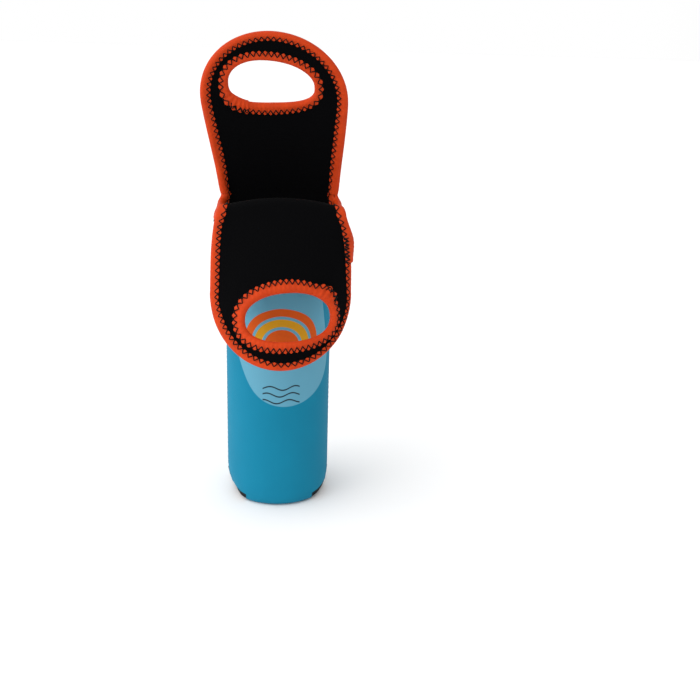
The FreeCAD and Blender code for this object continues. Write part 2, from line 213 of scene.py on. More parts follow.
def add_piece(name: str, points: Array, faces: Any, uv: Array, material: bpy.types.Material,
              crease: float = 50.0) -> bpy.types.Object:
    """Puts points and faces into a new object at the origin.

    Args:
        name: Name of the piece.
        points: Points in millimetres.
        faces: Faces as lists of point numbers.
        uv: One flat coordinate per point, in millimetres on the cloth.
        material: Finish of the piece.
        crease: Angle in degrees past which an edge is drawn sharp.

    Returns:
        The new object.
    """
    mesh = bpy.data.meshes.new(name)
    mesh.from_pydata((points * MM).tolist(), [], faces if isinstance(faces, list) else faces.tolist())
    layer = mesh.uv_layers.new(name="flat")
    corners = np.zeros(len(mesh.loops), np.int32)
    mesh.loops.foreach_get("vertex_index", corners)
    layer.data.foreach_set("uv", (uv[corners] * UV_PER_MM).astype(np.float32).ravel())
    mesh.polygons.foreach_set("use_smooth", np.ones(len(mesh.polygons), bool))
    mesh.set_sharp_from_angle(angle=math.radians(crease))
    mesh.materials.append(material)
    log.info("%s: %d points, %d faces", name, len(mesh.vertices), len(mesh.polygons))
    return add_object(name, mesh)


# Shader expressions


class Value:
    """A number socket that takes part in Python expressions, adding a Math node for each step."""

    def __init__(self, graph: "Graph", socket: bpy.types.NodeSocket) -> None:
        """Keeps the socket and the graph that it belongs to."""
        self.graph = graph
        self.socket = socket

    def maths(self, operation: str, *others: Any) -> "Value":
        """Adds a Math node of this operation, fed by this value and the others."""
        inputs = dict(enumerate((self, *others)))
        return self.graph.node("ShaderNodeMath", {"operation": operation}, inputs)[0]

    def __add__(self, other: Any) -> "Value":
        """Returns the sum."""
        return self.maths("ADD", other)

    __radd__ = __add__

    def __sub__(self, other: Any) -> "Value":
        """Returns the difference."""
        return self.maths("SUBTRACT", other)

    def __rsub__(self, other: Any) -> "Value":
        """Returns the difference from a number."""
        return self * -1.0 + other

    def __mul__(self, other: Any) -> "Value":
        """Returns the product."""
        return self.maths("MULTIPLY", other)

    __rmul__ = __mul__

    def __truediv__(self, other: Any) -> "Value":
        """Returns the quotient."""
        return self.maths("DIVIDE", other)

    def __pow__(self, other: Any) -> "Value":
        """Returns the power."""
        return self.maths("POWER", other)

    def __abs__(self) -> "Value":
        """Returns the size without its sign."""
        return self.maths("ABSOLUTE")

    def sine(self) -> "Value":
        """Returns the sine of the value in radians."""
        return self.maths("SINE")

    def wave(self, period: float) -> "Value":
        """Returns a sine wave of the given period, between 0 and 1."""
        return (self * (2.0 * math.pi / period)).sine() * 0.5 + 0.5

    def root(self) -> "Value":
        """Returns the square root."""
        return self.maths("SQRT")

    def above(self, edge: Any, soft: float) -> "Value":
        """Returns 0 below an edge and 1 above it, over a soft step of the given width."""
        return ((self - edge) / soft + 0.5).clamped()

    def below(self, edge: Any, soft: float) -> "Value":
        """Returns 1 below an edge and 0 above it, over a soft step of the given width."""
        return 1.0 - self.above(edge, soft)

    def clamped(self) -> "Value":
        """Returns the value held between 0 and 1."""
        return self.graph.node("ShaderNodeClamp", {}, {0: self})[0]


class Graph:
    """The node tree of a material or of the world."""

    def __init__(self, owner: Any, shader: str) -> None:
        """Keeps the tree of its owner and the shader in it.

        Args:
            owner: A material or world.
            shader: Blender's type of the shader.
        """
        owner.use_nodes = True
        self.owner = owner
        self.tree = owner.node_tree
        self.shader = next(node for node in self.tree.nodes if node.type == shader)

    @classmethod
    def material(cls, name: str) -> "Graph":
        """Returns the graph of a new material with a Principled shader."""
        return cls(bpy.data.materials.new(name), "BSDF_PRINCIPLED")

    def node(self, kind: str, settings: dict[str, Any], inputs: dict[Any, Any]) -> list[Value]:
        """Adds any node.

        Args:
            kind: Blender's name of the node type.
            settings: Properties to set first.
            inputs: Numbers, colours or values by socket name or number.

        Returns:
            The node's outputs.
        """
        node = self.tree.nodes.new(kind)
        for key, setting in settings.items():
            setattr(node, key, setting)
        for key, given in inputs.items():
            self.feed(node.inputs[key], given)
        return [Value(self, socket) for socket in node.outputs]

    def feed(self, socket: bpy.types.NodeSocket, given: Any) -> None:
        """Links a value to a socket, or sets a number or colour on it.

        Args:
            socket: The socket to feed.
            given: A value of this graph, a number, or a colour of three parts.
        """
        if isinstance(given, Value):
            self.tree.links.new(given.socket, socket)
        else:
            socket.default_value = (*given, 1.0) if socket.type == "RGBA" else given

    def flat(self) -> tuple[Value, Value]:
        """Reads the piece's flat coordinates.

        Returns:
            Places across and along the cloth, in millimetres.
        """
        uv = self.node("ShaderNodeUVMap", {"uv_map": "flat"}, {})[0]
        across, along, _ = self.node("ShaderNodeSeparateXYZ", {}, {0: uv})
        return across * (1.0 / UV_PER_MM), along * (1.0 / UV_PER_MM)

    def place(self) -> Value:
        """Returns the Object coordinates, in metres."""
        return self.node("ShaderNodeTexCoord", {}, {})[3]

    def noise(self, scale: float, detail: float = 3.0) -> Value:
        """Returns a noise from 0 to 1 with the given count of cells to the metre."""
        inputs = {"Vector": self.place(), "Scale": scale, "Detail": detail}
        return self.node("ShaderNodeTexNoise", {}, inputs)[0]

    def mix(self, factor: Any, low: Any, high: Any) -> Value:
        """Returns low where the factor is 0 and high where it is 1, as colours."""
        return self.node("ShaderNodeMix", {"data_type": "RGBA"}, {0: factor, 6: low, 7: high})[2]

    def bump(self, height: Value, distance: float) -> Value:
        """Returns the normal of a bumped surface; distance in millimetres for a height of 1."""
        inputs = {"Height": height, "Distance": distance * MM, "Strength": 1.0}
        return self.node("ShaderNodeBump", {}, inputs)[0]

    def finish(self, **sockets: Any) -> Any:
        """Feeds the shader.

        Args:
            sockets: What each socket gets, by its name with underlines for blanks.

        Returns:
            The material or world that owns the tree.
        """
        for key, given in sockets.items():
            self.feed(self.shader.inputs[key.replace("_", " ")], given)
        return self.owner


# Finishes


@dataclass(frozen=True)
class KnitFinish:
    """Fine knitted jersey: columns of loops that lean alternately, with a soft pile."""

    name: str
    colour: Colour
    # Darker end of the mix: painted shade in the knit's hollows, and random tone where the slow cloud falls
    # low.
    shade: Colour
    wale: float = 0.9
    course: float = 0.75
    depth: float = 0.09
    sheen: float = 0.04
    gloss: float = 0.12
    fuzz_cells: float = 2600.0
    cloud_cells: float = 38.0
    lean: float = 0.6
    rib_part: float = 0.45
    row_part: float = 0.35
    fuzz_part: float = 0.4
    knit_shade: float = 0.45
    cloud_shade: float = 0.5
    rough: float = 0.76
    rough_swing: float = 0.12
    sheen_rough: float = 0.45
    printed: bool = False

    def knit(self, graph: Graph, across: Value, along: Value) -> Value:
        """Height of the loops: each column is a rounded rib whose rows lean to its middle.

        Args:
            graph: The material's graph.
            across: Flat coordinate across the columns.
            along: Flat coordinate along the columns.

        Returns:
            Height from 0 to 1.
        """
        rib = abs((across * (math.pi / self.wale)).sine())
        rows = (along + rib * (self.course * self.lean)).wave(self.course)
        fuzz = graph.noise(self.fuzz_cells, 2.0)
        return rib * self.rib_part + rows * self.row_part + fuzz * self.fuzz_part

    def make(self) -> bpy.types.Material:
        """Mixes two shades by the loops, as painted shade in their hollows, and by a slow cloud, as random
        tone, with the loops as bump.

        Returns:
            The material.
        """
        graph = Graph.material(self.name)
        across, along = graph.flat()
        height = self.knit(graph, across, along)
        cloud = graph.noise(self.cloud_cells)
        # Painted shade: the loops' hollows take the darker shade and their tops the lighter colour; the slow
        # cloud adds random tone.
        light = (height * self.knit_shade + cloud * self.cloud_shade).clamped()
        colour = graph.mix(light, self.shade, self.colour)
        if self.printed:
            colour = PanelPrint().ink(graph, across, along, colour)
        return graph.finish(Base_Color=colour, Roughness=cloud * self.rough_swing + self.rough,
                            Normal=graph.bump(height, self.depth), Specular_IOR_Level=self.gloss,
                            Sheen_Weight=self.sheen, Sheen_Roughness=self.sheen_rough)


@dataclass(frozen=True)
class PanelPrint:
    """Plain printed ornament of the front wall: a pebble field, a rising disc in bands, and ripples.

    Places are flat millimetres: across from the panel's middle, up from the top of the heel.
    """

    field_colour: Colour = (0.13, 0.35, 0.47)
    warm: Colour = (0.58, 0.085, 0.008)
    gold: Colour = (0.58, 0.28, 0.012)
    ink_colour: Colour = (0.012, 0.012, 0.014)
    field_middle: tuple[float, float] = (0.0, 133.0)
    field_half: tuple[float, float] = (43.0, 56.0)
    field_lean: float = 0.12
    field_strength: float = 0.85
    swell_rate: float = 0.055
    swell_depth: float = 5.0
    disc_middle: tuple[float, float] = (1.0, 126.0)
    disc_radius: float = 13.0
    band: float = 6.0
    gap: float = 2.2
    horizon_rate: float = 0.21
    horizon_depth: float = 1.6
    ripple_heights: tuple[float, ...] = (92.0, 86.5, 81.0)
    ripple_half: float = 14.0
    ripple_rate: float = 0.34
    ripple_depth: float = 1.5
    ripple_line: float = 0.55
    soft: float = 0.5

    def ink(self, graph: Graph, across: Value, along: Value, cloth: Value) -> Value:
        """Lays the print over the cloth's colour.

        Args:
            graph: The material's graph.
            across: Flat coordinate across the panel.
            along: Flat coordinate up the panel.
            cloth: Colour of the bare cloth.

        Returns:
            Colour with the print.
        """
        soft = self.soft
        left, up = across - self.field_middle[0], along - self.field_middle[1]
        lean = up + left * self.field_lean
        swell = (lean * self.swell_rate).sine() * self.swell_depth
        reach = (((left + swell) / self.field_half[0]) ** 2.0 + (lean / self.field_half[1]) ** 2.0).root()
        filled = reach.below(1.0, soft / self.field_half[0]) * self.field_strength
        colour = graph.mix(filled, cloth, self.field_colour)
        side, rise = across - self.disc_middle[0], along - self.disc_middle[1]
        reach = (side * side + rise * rise).root()
        over = rise.above((side * self.horizon_rate).sine() * self.horizon_depth, soft)
        edge = self.disc_radius
        colour = graph.mix(reach.below(edge, soft) * over, colour, self.warm)
        for ring in (self.gold, self.warm):
            inside = edge + self.gap
            edge = inside + self.band
            colour = graph.mix(reach.above(inside, soft) * reach.below(edge, soft) * over, colour, ring)
        for height in self.ripple_heights:
            wave = (across * self.ripple_rate + height).sine() * self.ripple_depth + height
            line = abs(along - wave).below(self.ripple_line, soft) * abs(side).below(self.ripple_half, soft)
            colour = graph.mix(line, colour, self.ink_colour)
        return colour


@dataclass(frozen=True)
class FoamFinish:
    """Closed-cell foam, seen at cut edges: fine pores in matt black."""

    name: str = "black_foam"
    colour: Colour = (0.012, 0.012, 0.013)
    pore_shade: Colour = (0.004, 0.004, 0.004)
    cells: float = 2200.0
    depth: float = 0.12
    gloss: float = 0.2
    rough: float = 0.82
    rough_swing: float = 0.1

    def make(self) -> bpy.types.Material:
        """Takes the pores from a cell pattern, as bump and as painted shade that darkens their pits.

        Returns:
            The material.
        """
        graph = Graph.material(self.name)
        pores = graph.node("ShaderNodeTexVoronoi", {}, {"Vector": graph.place(), "Scale": self.cells})[0]
        # Painted shade: the pits of the pores take the darker colour.
        colour = graph.mix(pores, self.pore_shade, self.colour)
        return graph.finish(Base_Color=colour, Roughness=pores * self.rough_swing + self.rough,
                            Normal=graph.bump(pores, self.depth), Specular_IOR_Level=self.gloss)


@dataclass(frozen=True)
class TapeFinish:
    """Knitted stretch tape: fine ribs along its length, cross wrinkles, and painted shade that darkens the
    hollows.
    """

    name: str = "orange_tape"
    colour: Colour = (0.60, 0.050, 0.004)
    # The tape's orange in shadow, painted in: laid at random by the slow cloud, and as painted shade in the
    # hollows of ribs, rows and fuzz.
    shade: Colour = (0.36, 0.025, 0.002)
    rib: float = 0.62
    row: float = 0.8
    fuzz_cells: float = 1800.0
    cloud_cells: float = 120.0
    rib_part: float = 0.45
    row_part: float = 0.25
    fuzz_part: float = 0.5
    cloud_shade: float = 0.9
    knit_shade: float = 0.3
    depth: float = 0.1
    gloss: float = 0.14
    rough: float = 0.52
    rough_swing: float = 0.2

    def make(self) -> bpy.types.Material:
        """Takes ribs, rows and fuzz as bump, and mixes two shades by a slow cloud and by the bump, as painted
        shade in its hollows.

        Returns:
            The material.
        """
        graph = Graph.material(self.name)
        along, over = graph.flat()
        ribs = over.wave(self.rib)
        rows = (along * (2.0 * math.pi / self.row) + ribs).sine() * 0.5 + 0.5
        fuzz = graph.noise(self.fuzz_cells, 2.0)
        cloud = graph.noise(self.cloud_cells)
        height = ribs * self.rib_part + rows * self.row_part + fuzz * self.fuzz_part
        # Painted shade: the hollows of the ribs, rows and fuzz take the shadow orange, and the slow cloud
        # lays it at random.
        light = (cloud * self.cloud_shade + height * self.knit_shade).clamped()
        colour = graph.mix(light, self.shade, self.colour)
        return graph.finish(Base_Color=colour, Roughness=cloud * self.rough_swing + self.rough,
                            Normal=graph.bump(height, self.depth), Specular_IOR_Level=self.gloss)


@dataclass(frozen=True)
class ThreadFinish:
    """Twisted filament thread: slanting plies with a satin gleam."""

    name: str = "black_thread"
    colour: Colour = (0.004, 0.004, 0.0045)
    # Darker end of the mix: painted shade in the grooves between the plies.
    shade: Colour = (0.0015, 0.0015, 0.0015)
    ply: float = 0.55
    slant: float = 0.8
    depth: float = 0.06
    gloss: float = 0.1
    rough: float = 0.45
    rough_swing: float = 0.15

    def make(self) -> bpy.types.Material:
        """Twists the plies: a sine wave of the length along and round the thread, as bump and as painted
        shade in the grooves.

        Returns:
            The material.
        """
        graph = Graph.material(self.name)
        along, around = graph.flat()
        twist = (along + around * self.slant).wave(self.ply)
        # Painted shade: the grooves between the plies take the darker shade.
        colour = graph.mix(twist, self.shade, self.colour)
        return graph.finish(Base_Color=colour, Roughness=twist * self.rough_swing + self.rough,
                            Normal=graph.bump(twist, self.depth), Specular_IOR_Level=self.gloss)


@dataclass(frozen=True)
class FloorFinish:
    """Matt pale floor with a trace of unevenness."""

    name: str = "pale_floor"
    colour: Colour = (0.93, 0.93, 0.93)
    shade: Colour = (0.91, 0.91, 0.91)
    cloud_cells: float = 3.0
    rough: float = 0.7

    def make(self) -> bpy.types.Material:
        """Mixes two pale shades by a slow cloud.

        Returns:
            The material.
        """
        graph = Graph.material(self.name)
        cloud = graph.noise(self.cloud_cells)
        return graph.finish(Base_Color=graph.mix(cloud, self.shade, self.colour), Roughness=self.rough)


class Finishes:
    """All the carrier's finishes, made once."""

    def __init__(self) -> None:
        """Makes the materials."""
        # deep and pitch are the darker ends of the knit mixes: painted shade in the loops' hollows, and
        # random tone from the cloud.
        blue, deep = (0.006, 0.215, 0.345), (0.003, 0.155, 0.265)
        black, pitch = (0.0013, 0.0013, 0.0017), (0.0006, 0.0006, 0.0008)
        self.front = KnitFinish("blue_jersey_printed", blue, deep, printed=True).make()
        self.back = KnitFinish("blue_jersey", blue, deep).make()
        self.lining = KnitFinish("black_jersey", black, pitch, sheen=0.0, gloss=0.04).make()
        self.foam = FoamFinish().make()
        self.tape = TapeFinish().make()
        self.thread = ThreadFinish().make()

    def of(self, layer: Layer, front: bool) -> tuple[bpy.types.Material, str]:
        """Picks the finish of a layer.

        Args:
            layer: The layer.
            front: True on the printed front panel.

        Returns:
            The material, and the slot of the record that it stands for.
        """
        if layer is Layer.JERSEY:
            return (self.front if front else self.back), "jersey_blue"
        if layer is Layer.FOAM:
            return self.foam, "foam_black"
        return self.lining, "lining_black"


# Cloth


@dataclass(frozen=True)
class Laminate:
    """Thicknesses of the bonded layers, in millimetres."""

    lining: float = 0.5
    foam: float = 2.5
    jersey: float = 0.5

    @property
    def half(self) -> float:
        """Half of the whole thickness."""
        return (self.lining + self.foam + self.jersey) / 2

    def lifts(self, layer: Layer) -> tuple[float, float]:
        """Stacks the layers from the lining's free face to the jersey's.

        Args:
            layer: The layer.

        Returns:
            Its inner and outer lift from the panel's middle.
        """
        low, high = -self.half + self.lining, self.half - self.jersey
        spans = {Layer.LINING: (-self.half, low), Layer.FOAM: (low, high), Layer.JERSEY: (high, self.half)}
        return spans[layer]


LAMINATE = Laminate()


@dataclass
class WallMap:
    """Middle surface of one half of the sleeve.

    share runs from -1 at the left side seam to 1 at the right one. climb is the length up the
    cloth from the top of the heel, and is negative over the heel and under the base.
    """

    side: int
    hinge_y: float
    fold_z: float
    radius: float = 39.5
    heel: float = 7.25
    heel_top: float = 9.0
    heel_power: float = 0.6
    round_top: float = 138.0
    mouth_half_width: float = 46.5
    mouth_corner: float = 10.0
    crease_half: float = 44.9
    crest_rise: float = 0.0
    crest_drop: float = 6.6
    crotch_z: float = 231.5
    crotch_power: float = 2.4
    lean_sine: float = 0.0
    lean_soft: float = 10.0
    unevenness: float = 0.35
    shift: float = 0.0
    tuck: float = 4.9
    tuck_bias: float = 0.35
    tuck_height: float = 26.0
    tuck_share: float = 0.5
    tuck_soft: float = 0.3
    tuck_power: float = 2.5
    ripple_turns: tuple[float, float] = (3.1, 7.3)
    ripple_lengths: tuple[float, float, float] = (41.0, 29.0, 23.0)
    ripple_second: float = 0.6
    ripple_foot: float = 40.0

    @property
    def quarter(self) -> float:
        """Length round a quarter of the round sleeve."""
        return self.radius * math.pi / 2

    def rounded(self, share: Array, width: Array, corner: Array, lift: Array) -> tuple[Array, Array]:
        """Quarter of a rounded rectangle by share of its length: flat front, corner arc, flat side.

        Args:
            share: Signed share of the quarter's length from the middle of the front.
            width: Half width of the rectangle.
            corner: Radius of its corner.
            lift: Distance outwards.

        Returns:
            Places across and out from the middle.
        """
        front, side = width - corner, self.radius - corner
        length = np.abs(share) * (front + corner * math.pi / 2 + side)
        turn = np.clip((length - front) / corner, 0.0, math.pi / 2)
        past = np.maximum(length - front - corner * math.pi / 2, 0.0)
        across = np.minimum(length, front) + (corner + lift) * np.sin(turn)
        out = side + (corner + lift) * np.cos(turn) - past
        return np.sign(share) * across, out

    def mouth_x(self, share: Array) -> Array:
        """Returns how far across the mouth's rim a share lies."""
        return self.rounded(share, self.mouth_half_width, self.mouth_corner, 0.0)[0]

    @property
    def crease_share(self) -> float:
        """Share at which the crease ends, where the rim passes into the handle's edge.

        Returns:
            Length along the rounded rectangle to that place, by its quarter's length.
        """
        corner = self.mouth_corner
        front = self.mouth_half_width - corner
        turn = math.asin((self.crease_half - front) / corner)
        whole = front + corner * math.pi / 2 + self.radius - corner
        return (front + corner * turn) / whole

    def shifted(self, share: Any) -> Any:
        """Returns the mouth's sideways shift, which fades by a fourth power to the side seams."""
        return self.shift * (1.0 - share ** 4)

    def set_back(self, across: Array) -> Array:
        """Returns how far the mouth's rounded corner lies behind its flat front."""
        past = np.clip(np.abs(across) - self.mouth_half_width + self.mouth_corner, 0.0, self.mouth_corner)
        return self.mouth_corner - np.sqrt(self.mouth_corner ** 2 - past ** 2)

    def rise(self, across: Array) -> Array:
        """Returns the arch of the crease: a parabola, raised in the middle and low at its ends."""
        return self.crest_rise - self.crest_drop * (across / self.crease_half) ** 2

    def lean(self, above: Array) -> Array:
        """Returns the soft ramp (sqrt(v^2 + w^2) + v) / 2, which bends the cloth at the crease."""
        return (np.sqrt(above ** 2 + self.lean_soft ** 2) + above) / 2

    def rim(self, share: Array) -> Array:
        """Height of the wall's upper edge: the crease, then a superellipse dip to the side seam.

        Args:
            share: Share round the half sleeve.

        Returns:
            Heights in millimetres.
        """
        end = self.crease_share
        crease = self.fold_z + self.rise(self.mouth_x(np.clip(share, -end, end)))
        out = np.clip((1.0 - np.abs(share)) / (1.0 - end), 0.0, 1.0)
        end_z = self.fold_z + self.rise(np.array(self.crease_half))
        dip = (end_z - self.crotch_z) * (1.0 - out ** self.crotch_power) ** (1.0 / self.crotch_power)
        return np.where(np.abs(share) <= end, crease, end_z - dip)

    def heel_curve(self, turn: Array) -> tuple[Array, Array]:
        """Returns the heel's profile, a superellipse: shares of its radius out and down."""
        return np.cos(np.minimum(turn, NEAR_QUARTER)) ** self.heel_power, np.sin(turn) ** self.heel_power

    def heel_turn(self, foot: Array) -> Array:
        """Returns how far round the heel a height above the floor lies."""
        down = np.clip((self.heel_top - foot) / self.heel_top, 0.0, 1.0)
        return np.arcsin(down ** (1.0 / self.heel_power))

    def tucked(self, share: Array, height: Array) -> Array:
        """How far the foot is drawn in beside the base tab, by a power of the height.

        Args:
            share: Share round the half sleeve.
            height: Height above the floor.

        Returns:
            Distances inwards.
        """
        low = np.clip(1.0 - height / self.tuck_height, 0.0, 1.0)
        depth = self.tuck * (1.0 - self.tuck_bias * np.sign(share))
        return depth * ease((np.abs(share) - self.tuck_share) / self.tuck_soft) * low ** self.tuck_power

    def ripple(self, share: Array, climb: Array) -> Array:
        """The soft cloth's slight unevenness: slow sine waves that fade to the foot and the seams.

        Args:
            share: Share round the half sleeve.
            climb: Length up the cloth from the top of the heel.

        Returns:
            Distances outwards.
        """
        slow, quick = self.ripple_turns
        first, second, third = self.ripple_lengths
        waves = np.sin(slow * share + climb / first) * np.sin(climb / second + self.side)
        waves = waves + self.ripple_second * np.sin(quick * share - climb / third)
        return self.unevenness * waves * ease(climb / self.ripple_foot) * (1.0 - share ** 6)

    def place(self, share: Array, climb: Array, lift: Any) -> Array:
        """Places points of the sleeve.

        Above the heel the section is a circle that passes into a rounded rectangle at the mouth.
        The heel's profile is a superellipse, and the base is a disc.

        Args:
            share: Share round the half sleeve, from -1 to 1.
            climb: Length up the cloth from the top of the heel.
            lift: Distance from the middle surface, outwards.

        Returns:
            Points in millimetres.
        """
        height = self.heel_top + np.maximum(climb, 0.0)
        opened = ease((height - self.round_top) / (self.fold_z - self.round_top))
        width = self.radius + (self.mouth_half_width - self.radius) * opened
        corner = self.radius + (self.mouth_corner - self.radius) * opened
        raised = lift + self.ripple(share, climb) - self.tucked(share, height)
        across, out = self.rounded(share, width, corner, raised)
        end = self.crease_share
        fade = 1.0 - ease((np.abs(share) - end) / (1.0 - end))
        out = out - self.lean_sine * self.lean(height - self.fold_z) * fade * opened
        turn = np.clip(-climb / self.heel, 0.0, math.pi / 2)
        under = np.maximum(-climb - self.heel * math.pi / 2, 0.0)
        out_share, down_share = self.heel_curve(turn)
        reach = self.radius - self.heel + (self.heel + lift) * out_share - under
        reach = reach - self.tucked(share, self.heel_top - self.heel * down_share)
        across = across + self.shifted(share) * opened
        angle = share * math.pi / 2
        low = climb < 0
        across = np.where(low, reach * np.sin(angle), across)
        out = np.where(low, reach * np.cos(angle), out)
        height = np.where(low, self.heel_top - (self.heel + lift) * down_share, height)
        return np.stack([across, out * self.side, height], axis=-1)


@dataclass
class HandleMap:
    """Middle surface of a handle, from its crease to its round end.

    across is measured from the handle's middle and along from its crease. On the front handle the
    fold over the top lies at negative along.
    """

    wall: WallMap
    half_width: float
    draw_in: float
    side_height: float
    widest: float
    bow: float
    length: float
    hole_height: float
    hole_half_length: float
    hole_tilt: float
    fold_turn: float = 0.0
    fold_radius: float = 5.0
    sway: float = 0.0
    sway_power: float = 1.2
    taper: float = 2.0
    twist: float = 0.0
    hole_shift: float = 0.0
    hole_egg: float = 0.0
    hole_arch: float = 0.0
    arch_middle: float = 0.4
    bow_limit: float = 0.98
    samples: int = 200
    blank: float = 2.2
    pinch_length: float = 8.0
    settle: float = 26.0
    hole_half_height: float = 18.2
    hole_power: float = 2.25

    @property
    def fold_length(self) -> float:
        """Length of cloth in the fold."""
        return self.fold_radius * self.fold_turn

    def middle(self, across: Array, along: Array) -> Array:
        """Middle surface: an arc over the fold, then a sheet whose edges bow more towards its end.

        Args:
            across: Place across the handle.
            along: Place along it from the crease.

        Returns:
            Points in millimetres.
        """
        wall = self.wall
        past = np.maximum(along, 0.0)
        settled = 1.0 / (1.0 + (past / self.settle) ** 2)
        sag = self.sag(across, past)
        shift = wall.shifted(wall.crease_share)
        x = across + shift + self.sway * (past / self.length) ** self.sway_power
        near = across * wall.crease_half / self.edge_width(np.maximum(along, -self.fold_length))
        back = wall.set_back(near) * settled
        rise = wall.rise(near) * settled
        if self.fold_turn:
            turn = self.fold_turn * np.clip(1.0 + along / self.fold_length, 0.0, 1.0)
            reach = self.fold_radius - sag
            y = wall.hinge_y + back + reach * np.cos(turn) - past * np.sin(self.fold_turn)
            z = wall.fold_z + rise + reach * np.sin(turn) + past * np.cos(self.fold_turn)
        else:
            ramp = wall.lean(past)
            y = wall.radius - back - wall.lean_sine * ramp - sag
            z = wall.fold_z + rise + past - (1.0 - math.sqrt(1.0 - wall.lean_sine ** 2)) * ramp
        return np.stack([x, y, z], axis=-1)

    def sag(self, across: Array, along: Array) -> Array:
        """How far the edges bow out of the sheet: an arc's depth that grows along the handle.

        Args:
            across: Place across the handle.
            along: Place along it from the crease.

        Returns:
            Distances away from the jersey.
        """
        width = self.half_width + self.blank
        radius = (width ** 2 + self.bow ** 2) / (2.0 * self.bow)
        reach = np.clip(across, -self.bow_limit * radius, self.bow_limit * radius)
        depth = radius - np.sqrt(radius ** 2 - reach ** 2)
        return depth * along / (self.length + self.blank) * (1.0 + self.twist * across / self.half_width)

    def normals(self, across: Array, along: Array) -> Array:
        """Normals towards the jersey, from differences over a short step.

        Args:
            across: Place across the handle.
            along: Place along it from the crease.

        Returns:
            Unit vectors.
        """
        step = 0.05
        over = self.middle(across + step, along) - self.middle(across - step, along)
        up = self.middle(across, along + step) - self.middle(across, along - step)
        return unit(np.cross(over, up)) * -self.wall.side

    def place(self, across: Array, along: Array, lift: Any) -> Array:
        """Places points of the handle, lifted towards the jersey."""
        raised = np.asarray(lift)[..., None] if np.ndim(lift) else lift
        return self.middle(across, along) + self.normals(across, along) * raised

    def pressed(self, along: Array) -> Array:
        """How far the core is pressed thin: fully round the fold, not at all at its ends.

        Args:
            along: Place along the handle from the crease.

        Returns:
            Shares from 0 to 1, a parabola held at 1.
        """
        if not self.fold_turn:
            return np.zeros_like(along)
        return np.clip(2.0 - 2.0 * (2.0 * along / self.fold_length + 1.0) ** 2, 0.0, 1.0)

    def edge_width(self, along: Array) -> Array:
        """Half width up to the widest place: drawn in by a power, and pinched at the crease.

        Args:
            along: Place along the handle from the crease.

        Returns:
            Half widths in millimetres.
        """
        low = np.clip(1.0 - along / self.side_height, 0.0, 1.0)
        width = self.half_width - self.draw_in * low ** self.taper
        pinch = self.half_width - self.draw_in - self.wall.crease_half
        return width - pinch * np.exp(-(along + self.fold_length) / self.pinch_length)

    def outline(self, count: int) -> Array:
        """Edge of the handle from the right end of the crease over the top to the left end.

        Args:
            count: Number of points, evenly spaced.

        Returns:
            Flat points (across, along).
        """
        along = np.linspace(0.0, self.widest, self.samples)
        side = np.stack([self.edge_width(along), along], axis=-1)
        turn = np.linspace(0.0, math.pi / 2, self.samples)[1:]
        tip = self.length - self.widest
        top = np.stack([self.half_width * np.cos(turn), self.widest + tip * np.sin(turn)], axis=-1)
        right = np.concatenate([side, top])
        return evenly(np.concatenate([right, (right * [-1.0, 1.0])[-2::-1]]), count)

    def hole(self, angle: Array) -> Array:
        """Edge of the hand hole: a superellipse, fuller at one end, arched and slightly tilted.

        Args:
            angle: Angle round the hole, from the right end anticlockwise.

        Returns:
            Flat points (across, along).
        """
        power = 2.0 / self.hole_power
        x = self.hole_half_length * np.sign(np.cos(angle)) * np.abs(np.cos(angle)) ** power
        y = self.hole_half_height * np.sign(np.sin(angle)) * np.abs(np.sin(angle)) ** power
        y = y * (1.0 + self.hole_egg * x / self.hole_half_length)
        y = y - self.hole_arch * ((x / self.hole_half_length) ** 2 - self.arch_middle)
        tilt = math.radians(self.hole_tilt)
        across = self.hole_shift + x * math.cos(tilt) - y * math.sin(tilt)
        along = x * math.sin(tilt) + y * math.cos(tilt)
        return np.stack([across, self.hole_height + along], axis=-1)


def evenly(points: Array, count: int, closed: bool = False) -> Array:
    """Spaces points evenly along a line.

    Args:
        points: Points of the line.
        count: Number of points wanted.
        closed: True where the line returns to its first point, which is then not repeated.

    Returns:
        The new points.
    """
    if closed:
        points = np.concatenate([points, points[:1]])
    lengths = lengths_along(points)
    return between(np.linspace(0.0, lengths[-1], count, endpoint=not closed), lengths, points)


# Degrees round the fold given for where the layers and the tape would start and finish turning with the front
# handle; Panel.bend only works out these places.
FOLD_TURNS = {Layer.LINING: (30.0, 128.0), Layer.FOAM: (51.0, 125.0), Layer.JERSEY: (41.0, 127.0)}
TAPE_TURNS = (51.0, 100.0)


